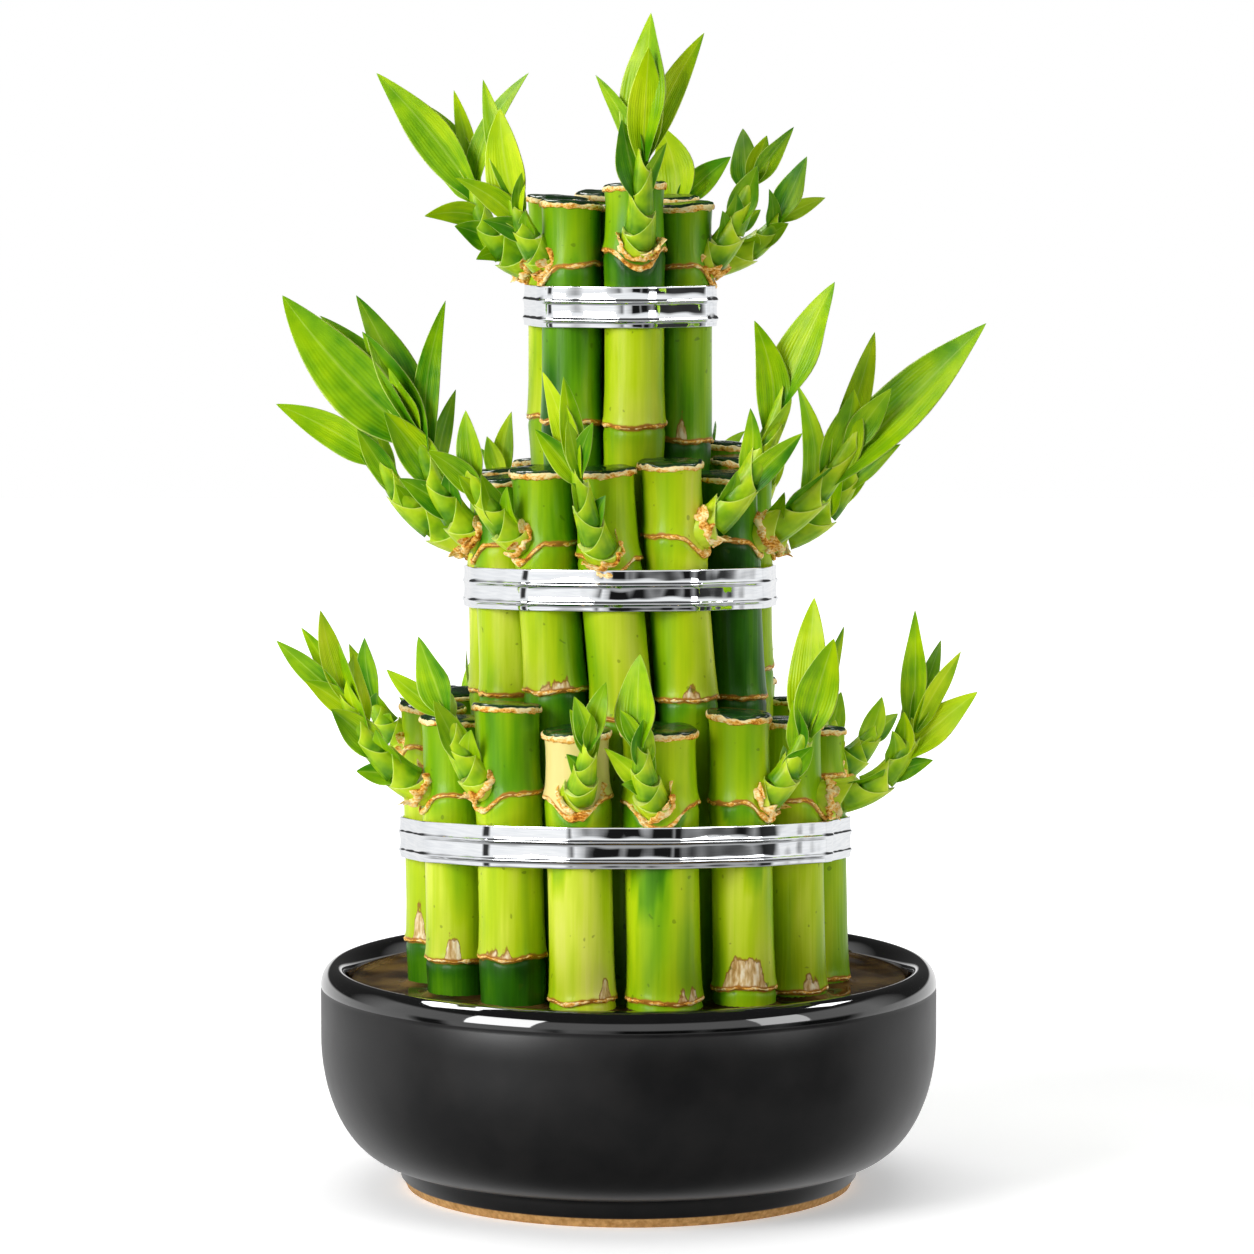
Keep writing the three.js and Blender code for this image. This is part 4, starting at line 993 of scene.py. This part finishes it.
def make_stem(curve, face, tone, seed):
    """The stem's overlapping sheaths, each one a closed skin. A sheath's upper edge rises to a point
    on one side, the next one's on the other, and it widens a little towards that edge."""
    turn = np.linspace(0, 2 * np.pi, STEM_COLUMNS, endpoint=False)
    lead = unit(np.cross(face, bezier_way(*curve, 0.6)))
    skins = []
    for order, (low, high) in enumerate(zip(SHEATH_STARTS, SHEATH_ENDS)):
        side = -1 if order % 2 else 1
        rim = high + SLANT * (2 * (0.5 + 0.5 * side * np.cos(turn)) ** 1.7 - 1)
        share = np.clip(low + (rim - low) * SHEATH_ROWS[:, None], 0, 1)
        way = bezier_way(*curve, share)
        across = unit(lead - way * (way @ lead)[..., None])
        depth = np.cross(way, across)
        phase = SHEATH_ROWS[:, None]
        radius = stem_radius(share) * (0.92 + 0.13 * phase ** 2 - 0.012 * order)
        ring = np.cos(turn)[None, :, None] * across + np.sin(turn)[None, :, None] * depth
        points = bezier(*curve, share) + ring * radius[..., None]
        shade = tone + 0.35 * smooth(0.3, 0.05, share) + 0.08 * drift(points, 6, seed)
        end = bezier(*curve, max(low, high - 0.2))
        skins.append(tube(points, SHEATH, bezier(*curve, low), end, along=phase,
                          across=np.sin(turn)[None], tone=shade))
    return skins


def blade_width(share):
    """The half width along a blade as a share of its widest: lance-shaped, pointed at the tip, and
    clasping the stem with a third of its width at the foot."""
    lance = np.sin(np.pi * share ** 0.85) ** 0.85
    return np.sqrt(lance ** 2 + (0.34 * np.clip(1 - share / 0.22, 0, 1)) ** 2)


# Leaves, the degrees between the ways that neighbours face, and the torn flaps at a shoot's foot
LEAF_ROWS = 20
LEAF_COLUMNS = 16
LEAF_THICKNESS = 0.32
BLADE_SPREAD = 26
COLLAR_PLACE = 0.13
FLAPS = 6
FLAP_TONE = 0.03


def make_leaf(curve, face, width, tone, seed):
    """A blade along a curve. Across it, the surface rises from the midrib by a fold that is steep at
    the foot and shallow at the tip, and its edges wave a little. A lens-shaped section gives it its
    thickness, and a rib stands out under the midrib. It is darker underneath, darker at its foot as
    painted shade, and lighter on one half and darker on the other as painted light and shade."""
    rng = np.random.default_rng(seed)
    share = (1 - np.cos(np.linspace(0.06, 0.985, LEAF_ROWS) * np.pi)) / 2
    turn = np.linspace(0, 2 * np.pi, LEAF_COLUMNS, endpoint=False)
    way = bezier_way(*curve, share)
    twist = np.radians(rng.uniform(-22, 22)) * share
    across = unit(np.cross(face, way))
    depth = np.cross(way, across)
    across, depth = (across * np.cos(twist)[:, None] + depth * np.sin(twist)[:, None],
                     depth * np.cos(twist)[:, None] - across * np.sin(twist)[:, None])
    half = width * 0.54 * blade_width(share)[:, None]
    x = np.cos(turn)[None] * half
    fold = (0.75 - 0.55 * smooth(0, 0.55, share))[:, None]
    bend = np.sqrt(x ** 2 + 0.12) - 0.35
    wave = 0.09 * half * np.sin(9 * share[:, None] + rng.uniform(0, 6)) * np.cos(turn)[None] ** 3
    thickness = LEAF_THICKNESS * (0.35 + 0.65 * smooth(0, 0.5, blade_width(share)))[:, None]
    section = np.sin(turn)[None] * thickness / 2 * (1 - 0.4 * np.cos(turn)[None] ** 2)
    rib = np.where(np.sin(turn)[None] < 0, -0.16 * np.exp(-(x / 0.35) ** 2), 0) * (1 - share[:, None])
    lift = fold * bend + wave + section + rib
    points = bezier(*curve, share)[:, None] + across[:, None] * x[..., None]
    points = points + depth[:, None] * lift[..., None]
    # Painted shade: darker at the foot, where the leaves overlap; and darker underneath.
    shade = tone - 0.15 * smooth(0.45, 0.05, share)[:, None] - 0.10 * (np.sin(turn)[None] < 0)
    # Painted light and shade: one half of the blade lighter and the other darker, as light falls on the
    # fold.
    shade = shade + rng.uniform(-0.12, 0.12) * np.sign(np.cos(turn))[None]
    return tube(points, LEAF, bezier(*curve, 0.0), bezier(*curve, 1.0), across=np.cos(turn)[None],
                along=share[:, None], tone=shade)


def make_collar(curve, face, seed):
    """The torn, dried sheath round a shoot's foot: a crinkled ring, and pointed flaps that stand out
    from it."""
    rng = np.random.default_rng(seed)
    turn = np.linspace(0, 2 * np.pi, 90, endpoint=False)
    way = bezier_way(*curve, COLLAR_PLACE)
    lead = unit(np.cross(face, way))
    depth = np.cross(way, lead)
    outward = np.cos(turn)[:, None] * lead + np.sin(turn)[:, None] * depth
    centre = bezier(*curve, COLLAR_PLACE)
    radius = stem_radius(COLLAR_PLACE)
    swing = drift(outward * 5, 3, seed)
    path = centre + outward * (radius + 0.15) + way * (0.9 * swing)[:, None]
    half_height = np.clip(0.9 + 0.5 * swing, 0.3, 2)
    points = crinkled_ring(path, outward, half_height, np.full(len(path), 0.45), seed + 1, way,
                           rows=10, crinkles=((0.35, 1.8), (0.2, 0.8)))
    skins = [ring_tube(points, SCAR_BARK)]
    for _ in range(FLAPS):
        spot = rng.uniform(0, 2 * np.pi)
        side = np.cos(spot) * lead + np.sin(spot) * depth
        foot = centre + side * (radius - 0.1)
        length = rng.uniform(2.4, 4.6)
        tip = foot + way * length * 0.8 + side * length * rng.uniform(0.25, 0.6)
        flap_curve = (foot, foot + way * length * 0.5, tip)
        flap = make_leaf(flap_curve, -side, rng.uniform(2.2, 3.6), FLAP_TONE, seed + 5)
        flap["finish"] = SCAR_BARK
        flap["values"]["tone"] = FLAP_TONE
        skins.append(flap)
    return skins


def make_shoot(ring, cane, seed):
    """A shoot: the wrapped stem, its leaves and its collar."""
    shoot = SHOOTS[cane["shoot"]]
    heading = cane["heading"]
    rng = np.random.default_rng(seed)
    root = cane_middle(ring, cane, cane["nodes"][1]) + out_at(heading) * (cane["radius"] - ROOT_DEPTH)
    reach = local(heading, shoot["stem"])
    level, up = shoot.get("knee", KNEE)
    knee = root + reach * (level, level, up)
    curve = (root, knee, root + reach)
    face = face_way(heading, shoot["face"])
    skins = make_stem(curve, face, 0.02 + rng.uniform(-0.06, 0.06), seed)
    for order, leaf in enumerate(shoot["leaves"]):
        place, out, sideways, up, width, bow = (*leaf, BOW)[:6]
        start = bezier(*curve, max(0, place - 0.08))
        tip = bezier(*curve, place) + local(heading, (out, sideways, up))
        length = np.linalg.norm(tip - start)
        straight = (tip - start) / length
        bend = start + 0.45 * length * (straight + bow * (bezier_way(*curve, place) - straight))
        leaf_face = face_way(heading, shoot["face"] + BLADE_SPREAD * (order % 3 - 1))
        tone = shoot.get("tone", 0.34) + 0.26 * place * min(1, length / 30) + rng.uniform(-0.18, 0.16)
        skins.append(make_leaf((start, bend, tip), leaf_face, width, tone, seed + 60 + order))
    return skins + make_collar(curve, face, seed + 90)


def make_cane(ring, number, cane):
    """One grown piece: the cane, its rings of bark, its waxed cut and its shoot."""
    name = f"{ring}_cane_{number}"
    seed = 1000 * list(CANES).index(ring) + 100 * number
    skins = [make_cane_skin(ring, cane, seed)]
    skins += [make_scar(ring, cane, which, seed) for which in (0, 1)]
    skins += make_cut_top(ring, cane, seed)
    if cane["shoot"]:
        skins += make_shoot(ring, cane, seed)
    piece = make_piece("grown_" + name, skins, PLANT_FINISHES)
    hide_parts(name)


make_bowl()
make_water()
for band_name, band in BANDS.items():
    make_band(band_name, band)
for ring_name, ring_canes in CANES.items():
    for number, one_cane in enumerate(ring_canes, 1):
        make_cane(ring_name, number, one_cane)


# The studio
def make_floor():
    """A pale level floor. It glows a little, and more further out, so that only the shadow shows."""
    x = np.linspace(-2500, 2500, 11)
    y = np.linspace(FLOOR_FRONT, 2500, 11)
    corners = np.stack(np.broadcast_arrays(x[None], y[:, None], 0.0), -1)
    index = np.arange(corners.shape[0] * corners.shape[1]).reshape(corners.shape[:2])
    quads = np.stack([index[:-1, :-1], index[:-1, 1:], index[1:, 1:], index[1:, :-1]], -1)
    mesh = bpy.data.meshes.new("floor")
    mesh.from_pydata((corners.reshape(-1, 3) * MM).tolist(), [], quads.reshape(-1, 4).tolist())
    finish = Finish("pale_paper", Roughness=0.7, Emission_Color=(1, 1, 1, 1))
    paper = finish.ramp(finish.noise(60.0, detail=3.0), (0.3, "#f4f4f4"), (0.7, "#fafafa"))
    away = finish.add("VectorMath", dict(operation="LENGTH"), i0=finish.place()).outputs["Value"]
    glow = finish.math("MULTIPLY_ADD", finish.step(180, 600, away), 0.61, 0.33)
    mesh.materials.append(finish.wear(Base_Color=paper, Emission_Strength=glow))
    floor = bpy.data.objects.new("floor", mesh)
    bpy.context.scene.collection.objects.link(floor)
    floor.visible_glossy = False


def make_light(name, place, size, power, target=(0, 0, 130)):
    """A soft rectangular light that looks at a point: it is tilted up from looking straight down,
    and then turned about the z axis."""
    data = bpy.data.lights.new(name, "AREA")
    data.shape = "RECTANGLE"
    data.size, data.size_y = size[0] * MM, size[1] * MM
    data.energy = power
    light = bpy.data.objects.new(name, data)
    light.location = [value * MM for value in place]
    x, y, z = np.subtract(target, place)
    light.rotation_euler = (np.arctan2(np.hypot(x, y), -z), 0, np.arctan2(-x, y))
    bpy.context.scene.collection.objects.link(light)
    return light


def make_world():
    """A room for each kind of ray. Soft light comes from behind the object; what shines shows a ring
    of windows and dark walls with a bright band over it; the camera itself sees only white."""
    world = bpy.data.worlds.new("white_room")
    bpy.context.scene.world = world
    world.use_nodes = True
    room = Nodes(world.node_tree)

    def follow(socket, stops):
        """A value that follows the stops as the socket goes from -1 to 1."""
        return room.ramp(room.math("MULTIPLY_ADD", socket, 0.5, 0.5), *stops)

    def shade(socket, stops):
        """A background whose light follows the stops."""
        return room.add("Background", Color=follow(socket, stops)).outputs[0]

    def choose(share, first, second):
        """The first background where the share is 0, and the second where it is 1."""
        return room.add("MixShader", Fac=share, i1=first, i2=second).outputs[0]

    axes = room.add("SeparateXYZ", Vector=room.add("TexCoord").outputs["Generated"]).outputs
    away, height = axes["Y"], axes["Z"]
    turn = room.math("ARCTAN2", axes["X"], room.math("MULTIPLY", away, -1.0))
    walls = shade(room.math("DIVIDE", turn, np.pi), WALLS)
    shine = choose(follow(height, WALL_SHOWS), shade(height, ABOVE_WALLS), walls)
    shine = choose(follow(away, BACK_SHOWS), shine, shade(height, BEHIND))
    white = room.add("Background", Color=(1, 1, 1, 1)).outputs[0]
    path = room.add("LightPath").outputs
    seen = choose(path["Is Glossy Ray"], shade(away, SOFT_ROOM), shine)
    seen = choose(path["Is Camera Ray"], seen, white)
    room.give(room.tree.nodes["World Output"].inputs["Surface"], seen)


def make_camera():
    """The photograph's view, from in front of the tower's axis and a little above its waist."""
    data = bpy.data.cameras.new("camera")
    data.lens = CAMERA_LENS
    data.sensor_width = CAMERA_SENSOR
    data.clip_end = 20
    camera = bpy.data.objects.new("camera", data)
    camera.location = [value * MM for value in CAMERA_PLACE]
    camera.rotation_euler = (np.radians(90 - CAMERA_TILT), 0, 0)
    bpy.context.scene.collection.objects.link(camera)
    bpy.context.scene.camera = camera


make_floor()
make_light("left_window", (-900, -800, 560), (600, 700), 15.0, (0, 0, 180))
make_light("right_window", (1000, -620, 480), (450, 600), 3.4)
make_light("ceiling", (0, 100, 1300), (1200, 1200), 7.5).visible_glossy = False
make_light("left_softbox", (-450, 330, 840), (700, 260), 7.0).visible_diffuse = False
make_light("right_softbox", (650, 250, 800), (300, 160), 2.0).visible_diffuse = False
make_world()
make_camera()
bpy.context.scene.view_settings.view_transform = "Standard"
